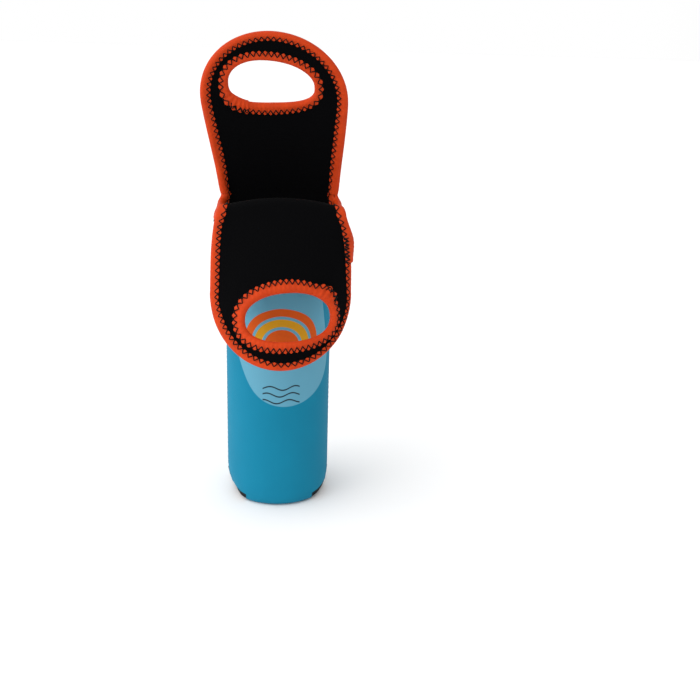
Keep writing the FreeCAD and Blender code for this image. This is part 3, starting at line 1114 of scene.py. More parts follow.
@dataclass
class Panel:
    """One sewn panel: base tab, wall, crease and handle, as one sheet of three layers."""

    name: str
    wall: WallMap
    handle: HandleMap
    nodes: tuple[str, ...]
    body: str
    strap_half: float = 25.5
    notch: tuple[tuple[float, float], ...] = ((0.45, 6.6), (0.6, 8.0), (0.75, 8.8), (0.88, 8.4), (1.0, 1.0))
    core_foot: float = 0.5
    core_press: float = 0.8
    side_gap: float = 0.35
    base_gap: float = 1.8
    core_gap: float = 0.05
    crease_span: tuple[float, float] = (-2.5, 10.0)
    side_columns: int = 18
    corner_columns: int = 4
    middle_columns: int = 53
    wall_rows: int = 96
    heel_rows: int = 8
    base_rows: int = 8
    fold_rows: int = 16
    handle_rows: int = 30
    edge_count: int = 250
    flat_size: tuple[float, float] = (0.130, 0.425)
    flat_area: float = 0.044
    hole_turn: float = math.radians(250.0)

    def columns(self, layer: Layer) -> Array:
        """Columns of the wall, with one at each edge of the base tab and of the crease.

        Args:
            layer: The layer; the jersey stops short of the side seams.

        Returns:
            Shares round the half sleeve.
        """
        gap = self.side_gap if layer is Layer.JERSEY else 0.0
        seam, corner, tab = -1.0 + gap / self.wall.quarter, -self.wall.crease_share, -self.strap_share
        left = np.concatenate([np.linspace(seam, corner, self.side_columns)[:-1],
                               np.linspace(corner, tab, self.corner_columns)[:-1]])
        return np.concatenate([left, np.linspace(tab, -tab, self.middle_columns), -left[::-1]])

    @property
    def strap_share(self) -> float:
        """Share at which the base tab's edges meet the wall."""
        return math.asin(self.strap_half / self.wall.radius) / (math.pi / 2)

    def wall_grid(self, shares: Array) -> tuple[Array, Array]:
        """Rows of the wall, from the heel's top to the rim.

        Args:
            shares: Columns of the wall.

        Returns:
            Shares and climbs.
        """
        rows = np.linspace(0.0, 1.0, self.wall_rows)[:, None]
        climb = rows * (self.wall.rim(shares) - self.wall.heel_top)[None]
        return np.broadcast_to(shares, climb.shape), climb

    def notch_grid(self, shares: Array, layer: Layer) -> tuple[Array, Array]:
        """Rows over the heel beside the base tab, where the jersey stops short in a wedge at the tab.

        Args:
            shares: Columns on one side of the tab.
            layer: The layer; the foam and the lining reach further down than the jersey.

        Returns:
            Shares and climbs, without the row that the wall has.
        """
        rows = np.linspace(0.0, 1.0, self.heel_rows + 1)[1:, None]
        foot = np.interp(np.abs(shares), *zip(*self.notch))
        foot = foot if layer is Layer.JERSEY else np.full_like(foot, self.core_foot)
        climb = -self.wall.heel * self.wall.heel_turn(foot)[None] * rows
        return np.broadcast_to(shares, climb.shape), climb

    def strap_grid(self, shares: Array, gap: float) -> tuple[Array, Array]:
        """Rows of the base tab: straight back at a constant width, over the heel to the base seam.

        Args:
            shares: Columns of the tab.
            gap: Distance that the tab stops short of the base seam's middle.

        Returns:
            Shares and climbs, without the row that the wall has.
        """
        wall = self.wall
        across = wall.radius * np.sin(shares * math.pi / 2)
        turn = np.linspace(0.0, math.pi / 2, self.heel_rows + 1)[1:, None]
        reach = wall.radius - wall.heel + wall.heel * wall.heel_curve(turn)[0]
        heel = np.arcsin(np.clip(across / reach, -1.0, 1.0)) / (math.pi / 2)
        heel_climb = np.broadcast_to(-wall.heel * turn, heel.shape)
        rim = wall.radius - wall.heel
        start = np.sqrt(rim ** 2 - across ** 2)
        back = start + (gap - start) * np.linspace(0.0, 1.0, self.base_rows + 1)[1:, None]
        base = np.arctan2(np.broadcast_to(across, back.shape), back) / (math.pi / 2)
        base_climb = -wall.heel * math.pi / 2 - (rim - np.hypot(across, back))
        return np.concatenate([heel, base]), np.concatenate([heel_climb, base_climb])

    def handle_grid(self, shares: Array) -> tuple[Array, Array, Array]:
        """Rows of the handle: the fold, then rings from the handle's edge in to the hand hole.

        Args:
            shares: Columns of the crease.

        Returns:
            Flat points of the fold's rows, of the handle's edge without the crease, and of the
            rings inside it.
        """
        across = self.wall.mouth_x(shares)
        count = self.fold_rows if self.handle.fold_turn else 0
        fold = np.linspace(-self.handle.fold_length, 0.0, count + 1)[1:]
        widening = self.handle.edge_width(np.append(fold, 0.0)) / self.wall.crease_half
        folded = np.stack(np.broadcast_arrays(across * widening[:-1, None], fold[:, None]), axis=-1)
        edge = self.handle.outline(self.edge_count + 2)[1:-1]
        crease = np.stack([across * widening[-1], np.zeros_like(across)], axis=-1)
        rim = np.concatenate([crease, edge])
        start = math.pi / 2 - self.hole_turn / 2
        low = np.linspace(start - (2.0 * math.pi - self.hole_turn), start, len(across))
        high = start + self.hole_turn * np.linspace(0.0, 1.0, self.edge_count + 2)[1:-1]
        hole = self.handle.hole(np.concatenate([low, high]))
        rows = np.linspace(0.0, 1.0, self.handle_rows + 1)[1:, None, None]
        return folded, edge, rim + (hole - rim) * rows

    def mesh(self, layer: Layer) -> tuple[Callable[[float], Array], Array, Array]:
        """Lays out one layer's points and quads.

        Args:
            layer: The layer; the jersey stops short of the seams.

        Returns:
            A function that places the points at a lift, the quads, and the flat coordinates.
        """
        shares = self.columns(layer)
        left, right = (np.flatnonzero(shares * hand.value >= self.strap_share - TINY) for hand in Hand)
        tab, top = (np.flatnonzero(np.abs(shares) <= end + TINY)
                    for end in (self.strap_share, self.wall.crease_share))
        gap = self.base_gap if layer is Layer.JERSEY else self.core_gap
        grids = [self.wall_grid(shares), self.notch_grid(shares[left], layer),
                 self.notch_grid(shares[right], layer), self.strap_grid(shares[tab], gap)]
        handle = self.handle_grid(shares[top])
        shapes = [grid[0].shape for grid in grids] + [part.shape[:-1] for part in handle]
        starts = np.cumsum([0] + [math.prod(shape) for shape in shapes])
        wall_ids, *lower_ids, fold_ids, edge_ids, ring_ids = map(numbered, shapes, starts)
        quads = [grid_quads(wall_ids)]
        for lower, chosen in zip(lower_ids, (left, right, tab)):
            quads.append(grid_quads(np.concatenate([wall_ids[:1, chosen], lower])[::-1]))
        fold_ids = np.concatenate([wall_ids[-1:, top], fold_ids])
        quads.append(grid_quads(fold_ids))
        ring_ids = np.concatenate([np.concatenate([fold_ids[-1], edge_ids])[None], ring_ids])
        quads.append(grid_quads(np.concatenate([ring_ids, ring_ids[:, :1]], axis=1)))
        share, climb = (np.concatenate([grid[column].ravel() for grid in grids]) for column in (0, 1))
        flat = np.concatenate([part.reshape(-1, 2) for part in handle])
        uv = np.concatenate([np.stack([share * self.wall.quarter, climb], axis=-1),
                             flat + [0.0, self.wall.fold_z + self.handle.fold_length]])
        crease_ids, crease_x = wall_ids[-1, top], self.wall.mouth_x(shares[top])
        face = LAMINATE.lifts(layer)[1]
        press = (self.core_press if layer is Layer.FOAM else 0.0) * self.handle.pressed(flat[:, 1])

        def place(lift: float) -> Array:
            """Places the layer's points.

            Args:
                lift: Distance from the panel's middle.

            Returns:
                Points in millimetres.
            """
            pressed = face - (face - lift) * (1.0 - press)
            points = np.concatenate([self.wall.place(share, climb, lift),
                                     self.handle.place(flat[:, 0], flat[:, 1], pressed)])
            start = np.full_like(crease_x, -self.handle.fold_length)
            points[crease_ids] = self.handle.place(crease_x, start, lift)
            return points

        return place, np.concatenate(quads), uv

    def bend(self, piece: bpy.types.Object, turns: tuple[float, float] = TAPE_TURNS,
             lift: float = 0.0) -> None:
        """Works out where a piece would start and finish bending from the sleeve to the handle, across the
        fold or up the crease, and bakes its placement into its points.

        Args:
            piece: The piece.
            turns: Degrees round the fold at which it would start to turn and have turned fully.
            lift: Mean distance of the piece from the panel's middle.
        """
        hinge = np.array([0.0, self.wall.hinge_y, self.wall.fold_z])
        if self.handle.fold_turn:
            reaches = (self.handle.fold_radius - lift) * np.cos(np.radians(turns))
            start, end = (hinge + [0.0, reach, 0.0] for reach in reaches)
        else:
            start, end = (hinge + [0.0, 0.0, height] for height in self.crease_span)
        tuple(start * MM)
        tuple(end * MM)
        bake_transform(piece)

    def build(self, finishes: Finishes) -> None:
        """Builds and dresses the three layers.

        Args:
            finishes: The carrier's finishes.
        """
        for layer in Layer:
            place, quads, uv = self.mesh(layer)
            low, high = LAMINATE.lifts(layer)
            points, faces = close_shell(place(high), place(low), quads)
            material, slot = finishes.of(layer, self.wall.side < 0)
            name = f"{self.name}_panel_{layer.value}"
            piece = add_piece(name, points, faces, np.concatenate([uv, uv]), material)
            self.bend(piece, FOLD_TURNS[layer], (low + high) / 2)
            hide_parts(*[f"{node}_{layer.value}" for node in self.nodes])


# Binding and stitching


@dataclass
class EdgeLine:
    """A line along a raw edge, with the cloth on one side of it.

    flat holds evenly spaced flat points, inward the flat direction into the cloth at each, and
    place puts flat points and lifts into space.
    """

    flat: Array
    inward: Array
    place: Callable[[Array, Array, Any], Array]
    closed: bool = False
    stretch_step: float = 3.0
    edge_step: float = 0.2
    spacing: float = field(init=False)

    def __post_init__(self) -> None:
        """Measures the spacing of the points on the cloth."""
        points = self.place(self.flat[:, 0], self.flat[:, 1], 0.0)
        self.spacing = float(np.mean(np.linalg.norm(np.diff(points, axis=0), axis=1)))

    @property
    def length(self) -> float:
        """Length of the line on the cloth."""
        return self.spacing * (len(self.flat) - (0 if self.closed else 1))

    def stations(self, places: Array) -> tuple[Array, Array]:
        """Flat points and inward directions between the line's own.

        Args:
            places: Lengths along the line.

        Returns:
            The points and the unit directions.
        """
        known = np.arange(len(self.flat) + (1 if self.closed else 0))
        rows = known % len(self.flat)
        marks = places / self.spacing
        point, inward = (between(marks, known, line[rows]) for line in (self.flat, self.inward))
        return point, unit(inward)

    def spread(self, count: int) -> Array:
        """Returns lengths that part the line evenly into count stretches."""
        ends = 0 if self.closed else 1
        return np.linspace(0.0, self.length, count + ends, endpoint=not self.closed)

    def points(self, places: Array, depth: Array, lift: Array) -> Array:
        """Places points beside the edge.

        Args:
            places: Lengths along the line, one per row.
            depth: Distances into the cloth; negative ones lie outside the edge.
            lift: Distances from the cloth's middle, towards the jersey.

        Returns:
            Points in millimetres, one row per length.
        """
        point, inward = self.stations(places)
        near = self.place(*point.T, 0.0)
        far = self.place(*(point + inward * self.stretch_step).T, 0.0)
        stretch = np.linalg.norm(far - near, axis=-1, keepdims=True) / self.stretch_step
        held = np.maximum(depth, 0.0) / stretch
        flat = point[:, None] + inward[:, None] * held[..., None]
        inner = self.place(flat[..., 0], flat[..., 1], lift)
        outward = unit(near - self.place(*(point + inward * self.edge_step).T, 0.0))
        return inner + outward[:, None] * np.maximum(-depth, 0.0)[..., None]


@dataclass(frozen=True)
class Lap:
    """Place where a tape's end laps over its start: a thicker, wider stretch with one blunt end."""

    start: float
    length: float
    thick: float
    out: float
    hem: float
    rough: float = 2.5
    crest: float = 0.6
    settle: float = 0.35
    end_length: float = 1.2

    def share(self, places: Array) -> Array:
        """How far lengths along the tape lie in the lap: a slow rise and a sudden fall.

        Args:
            places: Lengths along the tape.

        Returns:
            Shares from 0 to 1.
        """
        into = (places - self.start) / self.length
        settled = self.settle * ease((into - self.crest) / (1.0 - self.crest))
        end = ease((places - self.start - self.length) / self.end_length)
        return ease(into / self.crest) * (1.0 - settled) * (1.0 - end)


@dataclass
class Tape:
    """Tape folded over a raw edge, sewn down near its hems with a zigzag that scallops it.

    name is the edge's name. The tape, its stitching and the solids that they stand for add to it.
    """

    line: EdgeLine
    name: str
    widths: tuple[tuple[float, float], ...] = ((0.0, 6.8), (1.0, 6.8))
    thick: float = 1.15
    pitch: float = 4.9
    scallop: float = 1.6
    pinch: float = 0.85
    wrinkle: float = 0.10
    wrinkle_length: float = 3.4
    laps: tuple[Lap, ...] = ()
    stitch_span: float = 3.1
    stitch_over: float = 0.3
    lap_pitch: float = 2.9
    lap_span: float = 4.0
    lap_from: float = 0.5
    lap_sewn: float = 0.55
    scallop_middle: float = 0.6
    roll_share: float = 0.28
    roll_out: float = 1.05
    inner_shares: tuple[float, ...] = (0.6, 0.4, 0.2)
    sunk: float = 0.05
    roll_swell: float = 0.25
    roll_fall: float = 1.5
    pinch_from: float = 0.35
    pinch_soft: float = 0.5
    swells: tuple[tuple[float, float, float], ...] = ((0.09, 7.9, 0.0), (0.06, 4.3, 1.1))
    wrinkle_sway: float = 2.0
    sway_length: float = 9.0
    wrinkle_roll: float = 0.4
    hem_from: float = 0.8
    hem_soft: float = 0.2
    hem_thin: float = 0.62
    thinnest: float = 0.2
    bare_reach: float = 0.4
    bare_lift: float = 0.3
    arch_rise: float = 1.15
    arch_foot: float = 0.55
    thread: float = 0.42
    face_points: int = 13
    turn_points: int = 11
    per_pitch: int = 8

    @property
    def pitches(self) -> int:
        """Whole count of zigzags along the tape."""
        return max(2, round(self.line.length / self.pitch))

    @property
    def width(self) -> float:
        """Mean width of the tape on one face."""
        return float(np.mean([width for _, width in self.widths]))

    def lapped(self, places: Array, size: str) -> Array:
        """Returns what the laps add to one of the tape's sizes, as a column."""
        added = [getattr(lap, size) * lap.share(places) for lap in self.laps]
        return sum(added, np.zeros_like(places))[:, None]

    def width_at(self, places: Array) -> Array:
        """Returns the width on one face at lengths along the tape, as a column."""
        shares, widths = zip(*self.widths)
        return np.interp(places / self.line.length, shares, widths)[:, None] + self.lapped(places, "hem")

    def lobes(self, places: Array) -> Array:
        """Returns 0 where the thread holds the hem down and 1 midway between."""
        cycle = places * self.pitches / self.line.length
        return 0.5 * np.abs(np.cos(math.pi * cycle)) + 0.5 * triangle(cycle)

    def puff(self, places: Array, depth: Array) -> Array:
        """Thickness of the tape over the cloth.

        A rounded roll near the edge falls to the hem, is pinched there between the lobes of the
        zigzag, and carries slow swellings, short wrinkles and the laps.

        Args:
            places: Lengths along the tape, one per row.
            depth: Distances from the edge into the cloth.

        Returns:
            Thickness in millimetres.
        """
        hem = np.clip(depth / self.width_at(places), 0.0, 1.0)
        lobe = self.lobes(places)[:, None]
        along = places[:, None]
        fall = np.cos(math.pi * np.minimum(hem * self.roll_fall, 1.0))
        roll = self.thick * (1.0 + self.roll_swell * fall)
        held = self.pinch * ease((hem - self.pinch_from) / self.pinch_soft) * (1.0 - lobe)
        slow = sum(size * np.sin(along / length + turn) for size, length, turn in self.swells)
        sway = self.wrinkle_sway * np.sin(along / self.sway_length)
        short = self.wrinkle * np.sin(2.0 * math.pi * along / self.wrinkle_length + sway)
        short = short * (1.0 + self.lapped(places, "rough"))
        short = short * (self.wrinkle_roll + (1.0 - self.wrinkle_roll) * hem)
        edge = 1.0 - self.hem_thin * ease((hem - self.hem_from) / self.hem_soft)
        puffed = (roll - held + slow + short) * edge
        return np.maximum(puffed, self.thinnest) + self.lapped(places, "thick")

    def build(self, finishes: Finishes) -> bpy.types.Object:
        """Builds the tape: a loop over both faces and round the edge, closed along the cloth.

        Args:
            finishes: The carrier's finishes.

        Returns:
            The piece.
        """
        line, half = self.line, LAMINATE.half
        places = line.spread(self.pitches * self.per_pitch)
        width = self.width_at(places)
        hem = width + self.scallop * (self.lobes(places)[:, None] - self.scallop_middle)
        face = hem * np.linspace(1.0, self.roll_share, self.face_points)
        turn = np.linspace(0.0, math.pi, self.turn_points + 2)[None, 1:-1]
        start = width * self.roll_share
        roll_depth = start - (start + self.thick * self.roll_out + self.lapped(places, "out")) * np.sin(turn)
        roll_lift = (half + self.puff(places, start)) * np.cos(turn)
        over = half + self.puff(places, face)
        inner = width * np.array([self.inner_shares])
        cloth = np.full_like(inner, half - self.sunk)
        depth = np.concatenate([face, roll_depth, face[:, ::-1], inner, inner[:, ::-1]], axis=1)
        lift = np.concatenate([over, roll_lift, -over[:, ::-1], -cloth, cloth], axis=1)
        points = line.points(places, depth, lift)
        climbs = np.abs(np.diff(lift[0], prepend=lift[0, :1]))
        across = np.cumsum(climbs + np.abs(np.diff(depth[0], prepend=0.0)))
        uv = np.stack(np.meshgrid(places, across, indexing="ij"), axis=-1).reshape(-1, 2)
        faces = sweep_quads(*points.shape[:2], line.closed)
        piece = add_piece(f"{self.name}_tape", points.reshape(-1, 3), faces, uv, finishes.tape, crease=70.0)
        mend_normals(piece)
        return piece

    def stitches(self, finishes: Finishes) -> bpy.types.Object:
        """Builds the zigzag on both faces, and a denser one over the end of each lap.

        Args:
            finishes: The carrier's finishes.

        Returns:
            The piece.
        """
        line = self.line
        places = line.spread(self.pitches * STITCH_POINTS)
        runs = [(places, places * self.pitches / line.length, self.stitch_span, line.closed)]
        for lap in self.laps:
            turns = round(self.lap_sewn * lap.length / self.lap_pitch)
            cycle = np.linspace(0.0, turns, turns * STITCH_POINTS + 1)
            places = lap.start + lap.length * (self.lap_from + self.lap_sewn * cycle / turns)
            runs.append((places, cycle, self.lap_span, False))
        threads = [self.zigzag(*run, face) for run in runs for face in Face]
        return add_threads(f"{self.name}_zigzag", threads, self.thread, finishes)

    def zigzag(self, places: Array, cycle: Array, span: float, closed: bool, face: Face) -> Thread:
        """One zigzag thread over the hem: a triangle wave between the roll and the bare cloth.

        The thread arches up between its turns, and dips into the tape or the cloth at each.

        Args:
            places: Lengths along the tape.
            cycle: Count of zigzags at each of them.
            span: Reach of the zigzag across the tape.
            closed: True where the thread returns to its start.
            face: Face of the panel that it lies on.

        Returns:
            The thread's path, the cloth's normal along it, and closed.
        """
        width = self.width_at(places)[:, 0]
        depth = width + self.stitch_over - span * (1.0 - triangle(cycle + 0.5))
        height = LAMINATE.half + self.puff(places, depth[:, None])[:, 0]
        floor = np.where(depth > width - self.bare_reach, LAMINATE.half + self.bare_lift, height)
        arch = self.arch_rise * stitch_arch(cycle) - self.arch_foot
        lift = face.value * (floor + self.thread * arch)
        path = self.line.points(places, depth[:, None], lift[:, None])[:, 0]
        under = self.line.points(places, depth[:, None], (lift - face.value)[:, None])[:, 0]
        return path, unit(path - under), closed


def mend_normals(piece: bpy.types.Object) -> None:
    """Turns every face of a closed piece outwards.

    Args:
        piece: The piece.
    """
    work = bmesh.new()
    work.from_mesh(piece.data)
    bmesh.ops.recalc_face_normals(work, faces=work.faces)
    work.to_mesh(piece.data)
    work.free()


def add_threads(name: str, threads: list[Thread], radius: float, finishes: Finishes,
                sides: int = 6) -> bpy.types.Object:
    """Carries a small circle along each thread's path.

    Args:
        name: Name of the piece.
        threads: Paths, each with the cloth's normal at its points and whether it returns to its start.
        radius: Radius of the thread.
        finishes: The carrier's finishes.
        sides: Number of flats round a thread.

    Returns:
        One piece that holds all the threads.
    """
    points, faces, uvs, count = [], [], [], 0
    angles = np.arange(sides) * 2.0 * math.pi / sides
    for path, normal, closed in threads:
        ahead = np.roll(path, -1, axis=0) - np.roll(path, 1, axis=0)
        if not closed:
            ahead[0], ahead[-1] = path[1] - path[0], path[-1] - path[-2]
        aside = unit(np.cross(ahead, normal))
        up = unit(np.cross(aside, ahead))
        ring = np.cos(angles)[:, None] * up[:, None] + np.sin(angles)[:, None] * aside[:, None]
        points.append((path[:, None] + radius * ring).reshape(-1, 3))
        flat = np.meshgrid(lengths_along(path), angles * radius, indexing="ij")
        uvs.append(np.stack(flat, axis=-1).reshape(-1, 2))
        faces += sweep_quads(len(path), sides, closed, count)
        count += len(path) * sides
    piece = add_piece(name, np.concatenate(points), faces, np.concatenate(uvs), finishes.thread, crease=75.0)
    mend_normals(piece)
    return piece


def right_of(ahead: Array) -> Array:
    """Returns flat directions turned a quarter clockwise."""
    return np.stack([ahead[:, 1], -ahead[:, 0]], axis=-1)


def handle_edge(handle: HandleMap, count: int = 600, foot_count: int = 24,
                foot_length: float = 12.0) -> EdgeLine:
    """Line along a handle's raw edge, over the fold where it has one.

    Near its ends the line is taken as straight up, so that the tape crosses the crease squarely.

    Args:
        handle: The handle.
        count: Number of points.
        foot_count: Number of points over the fold.
        foot_length: Length from each end over which the direction turns straight.

    Returns:
        The line, from the right end of the crease to the left one.
    """
    outline = handle.outline(count)
    if handle.fold_turn:
        foot = np.linspace(-handle.fold_length, 0.0, foot_count)[:-1]
        right = np.stack([handle.edge_width(foot), foot], axis=-1)
        outline = np.concatenate([right, outline, (right * [-1.0, 1.0])[::-1]])
    outline = evenly(outline, count)
    ahead = np.gradient(outline, axis=0)
    place = np.arange(count) * np.linalg.norm(outline[1] - outline[0])
    ends = 1.0 - ease(np.minimum(place, place[::-1]) / foot_length)
    straight = np.stack([np.zeros(count), np.where(place < place[::-1], 1.0, -1.0)], axis=-1)
    ahead = unit(unit(ahead) * (1.0 - ends[:, None]) + straight * ends[:, None])
    return EdgeLine(outline, -right_of(ahead), handle.place)


def hole_edge(handle: HandleMap, samples: int = 900, count: int = 400) -> EdgeLine:
    """Closed line round a handle's hand hole.

    Args:
        handle: The handle.
        samples: Number of angles at which the hole's curve is worked out.
        count: Number of points.

    Returns:
        The line, anticlockwise from the right end.
    """
    angles = np.linspace(0.0, 2.0 * math.pi, samples, endpoint=False)
    outline = evenly(handle.hole(angles), count, closed=True)
    ahead = unit(np.roll(outline, -1, axis=0) - np.roll(outline, 1, axis=0))
    return EdgeLine(outline, right_of(ahead), handle.place, closed=True)


def crotch_edge(front: WallMap, back: WallMap, hand: Hand, samples: int = 1200, count: int = 300) -> EdgeLine:
    """Line along the rim from the front crease through the side seam to the back crease.

    Flat points are (length round the sleeve from the side seam, height); negative lengths lie on
    the front wall.

    Args:
        front: The front wall.
        back: The back wall.
        hand: Side of the carrier.
        samples: Number of places at which the rim is worked out.
        count: Number of points.

    Returns:
        The line.
    """
    reach, far = (wall.quarter * (1.0 - wall.crease_share) for wall in (front, back))
    places = np.linspace(-reach, far, samples)

    def share(length: Array) -> Array:
        """Returns the wall's share at a length round from the side seam."""
        return hand.value * (1.0 - np.abs(length) / front.quarter)

    def place(length: Array, height: Array, lift: Any) -> Array:
        """Puts flat points on whichever wall they belong to.

        Args:
            length: Length round the sleeve from the side seam.
            height: Height above the floor.
            lift: Distance from the middle surface, outwards.

        Returns:
            Points in millimetres.
        """
        climb = height - front.heel_top
        here, there = (wall.place(share(length), climb, lift) for wall in (front, back))
        return np.where((length < 0)[..., None], here, there)

    height = np.where(places < 0, front.rim(share(places)), back.rim(share(places)))
    outline = evenly(np.stack([places, height], axis=-1), count)
    return EdgeLine(outline, right_of(unit(np.gradient(outline, axis=0))), place)


@dataclass
class SideSeam:
    """Flat zigzag seam up one side, over a cord of thread that fills the joint."""

    wall: WallMap
    hand: Hand
    half_width: float = 1.75
    pitch: float = 4.4
    thread: float = 0.26
    foot: float = 3.4
    top_gap: float = 7.4
    core: float = 0.55
    arch_rise: float = 0.7
    arch_foot: float = 1.2

    def place(self, climb: Array, aside: Array, lift: Array) -> Array:
        """Places points beside the seam's middle, up the side of the sleeve."""
        points = self.wall.place(np.full_like(climb, float(self.hand.value)), climb, lift)
        return np.stack([points[:, 0], points[:, 1] + aside, points[:, 2]], axis=-1)

    def span(self) -> tuple[float, float]:
        """Returns the climbs at which the seam starts and stops."""
        low = -self.wall.heel * float(self.wall.heel_turn(np.array(self.foot)))
        return low, self.wall.crotch_z - self.top_gap - self.wall.heel_top

    def build(self, finishes: Finishes, name: str) -> bpy.types.Object:
        """Builds the zigzag, a triangle wave that arches between its turns, and the cord under it.

        Args:
            finishes: The carrier's finishes.
            name: Name of the piece.

        Returns:
            The piece.
        """
        low, high = self.span()
        cycles = round((high - low) / self.pitch)
        climb = np.linspace(low, high, cycles * STITCH_POINTS + 1)
        cycle = (climb - low) / (high - low) * cycles
        zigzag = self.half_width * (triangle(cycle) * 2.0 - 1.0)
        arched = LAMINATE.half + self.thread * (self.arch_rise * stitch_arch(cycle) - self.arch_foot)
        straight = np.zeros_like(climb)
        threads = []
        for aside, lift in ((zigzag, arched), (straight, straight + LAMINATE.half - self.core)):
            path = self.place(climb, aside, lift)
            threads.append((path, unit(path - self.place(climb, aside, lift - 1.0)), False))
        return add_threads(name, threads, self.thread, finishes)


@dataclass
class BaseSeam:
    """Zigzag seam across the base, sunk in the valley between the two base tabs."""

    half_length: float = 25.5
    half_width: float = 1.5
    pitch: float = 4.4
    thread: float = 0.3
    height: float = 0.4
    cord_aside: float = 0.5
    cord_height: float = 0.9

    def build(self, finishes: Finishes) -> bpy.types.Object:
        """Builds the zigzag, a triangle wave, and two straight threads above it.

        Args:
            finishes: The carrier's finishes.

        Returns:
            The piece.
        """
        cycles = round(2.0 * self.half_length / self.pitch)
        across = np.linspace(-self.half_length, self.half_length, cycles * STITCH_POINTS + 1)
        zigzag = self.half_width * (triangle((across + self.half_length) / self.pitch) * 2.0 - 1.0)
        down = np.tile([0.0, 0.0, -1.0], (len(across), 1))
        cords = [(aside, self.cord_height) for aside in (self.cord_aside, -self.cord_aside)]
        threads = [(np.stack(np.broadcast_arrays(across, *line), axis=-1), down, False)
                   for line in [(zigzag, self.height), *cords]]
        return add_threads("base_seam_zigzag", threads, self.thread, finishes)


@dataclass
class BarTacks:
    """Dense bars of thread that lock the ends of the base seam and the feet of the side seams."""

    wall: WallMap
    strap_half: float = 25.5
    half_length: float = 3.0
    rows: int = 7
    thread: float = 0.26
    row_points: int = 7
    arch: float = 0.2
    foot: float = 0.5
    height: float = 2.4
    side_climb: float = 2.0
    side_half: float = 2.0

    def bar(self, start: Array, stop: Array, step: Array, normal: Array) -> list[Thread]:
        """Rows of thread side by side, each arched from one long edge of the bar to the other.

        Args:
            start: Start of the first row.
            stop: End of the first row.
            step: Offset from one row to the next.
            normal: Direction out of the cloth.

        Returns:
            Paths with their normals.
        """
        share = np.linspace(0.0, 1.0, self.row_points)[:, None]
        row = start + (stop - start) * share + np.sin(math.pi * share) * self.arch * normal
        normals = np.tile(normal, (self.row_points, 1))
        return [(row + step * index, normals, False) for index in range(self.rows)]

    def build(self, finishes: Finishes) -> bpy.types.Object:
        """Builds the four bars.

        Args:
            finishes: The carrier's finishes.

        Returns:
            The piece.
        """
        threads = []
        length, gaps = 2.0 * self.half_length, self.rows - 1
        climb = np.array([self.side_climb, self.side_climb + length])
        side = np.array([0.0, self.side_half, 0.0])
        for hand in Hand:
            out = np.array([float(hand.value), 0.0, 0.0])
            low = out * (self.strap_half + self.thread) + [0.0, -self.half_length, self.foot]
            threads += self.bar(low, low + [0.0, 0.0, self.height], np.array([0.0, length / gaps, 0.0]), out)
            low, high = self.wall.place(np.full(2, float(hand.value)), climb, LAMINATE.half)
            threads += self.bar(low - side, low + side, (high - low) / gaps, out)
        return add_threads("bar_tack_threads", threads, self.thread, finishes)


# The whole carrier

# Widths of the tapes on one face, by share of their length.
FLAP_WIDTHS = ((0.0, 7.6), (0.022, 7.6), (0.045, 6.4), (0.076, 4.9), (0.14, 4.8), (0.2, 5.2), (0.3, 4.0),
               (0.4, 3.5), (0.5, 4.0), (0.6, 5.5), (0.7, 7.3), (0.8, 6.8), (0.9, 5.6), (0.924, 5.4),
               (0.955, 6.4), (0.978, 7.6), (1.0, 7.6))
GRIP_WIDTHS = ((0.0, 7.4), (0.08, 7.8), (0.17, 7.6), (0.25, 6.7), (0.4, 5.5), (0.5, 4.9), (0.6, 5.4),
               (0.75, 6.2), (0.9, 7.2), (1.0, 6.6))
FLAP_RING_WIDTHS = ((0.0, 5.3), (0.12, 5.4), (0.25, 6.7), (0.5, 7.0), (0.75, 8.2), (1.0, 5.3))
GRIP_RING_WIDTHS = ((0.0, 5.2), (0.25, 5.5), (0.5, 5.8), (0.75, 7.4), (1.0, 5.2))
RIM_WIDTHS = {Hand.LEFT: ((0.0, 5.6), (0.5, 6.6), (1.0, 6.6)),
              Hand.RIGHT: ((0.0, 5.6), (0.5, 6.6), (1.0, 7.4))}


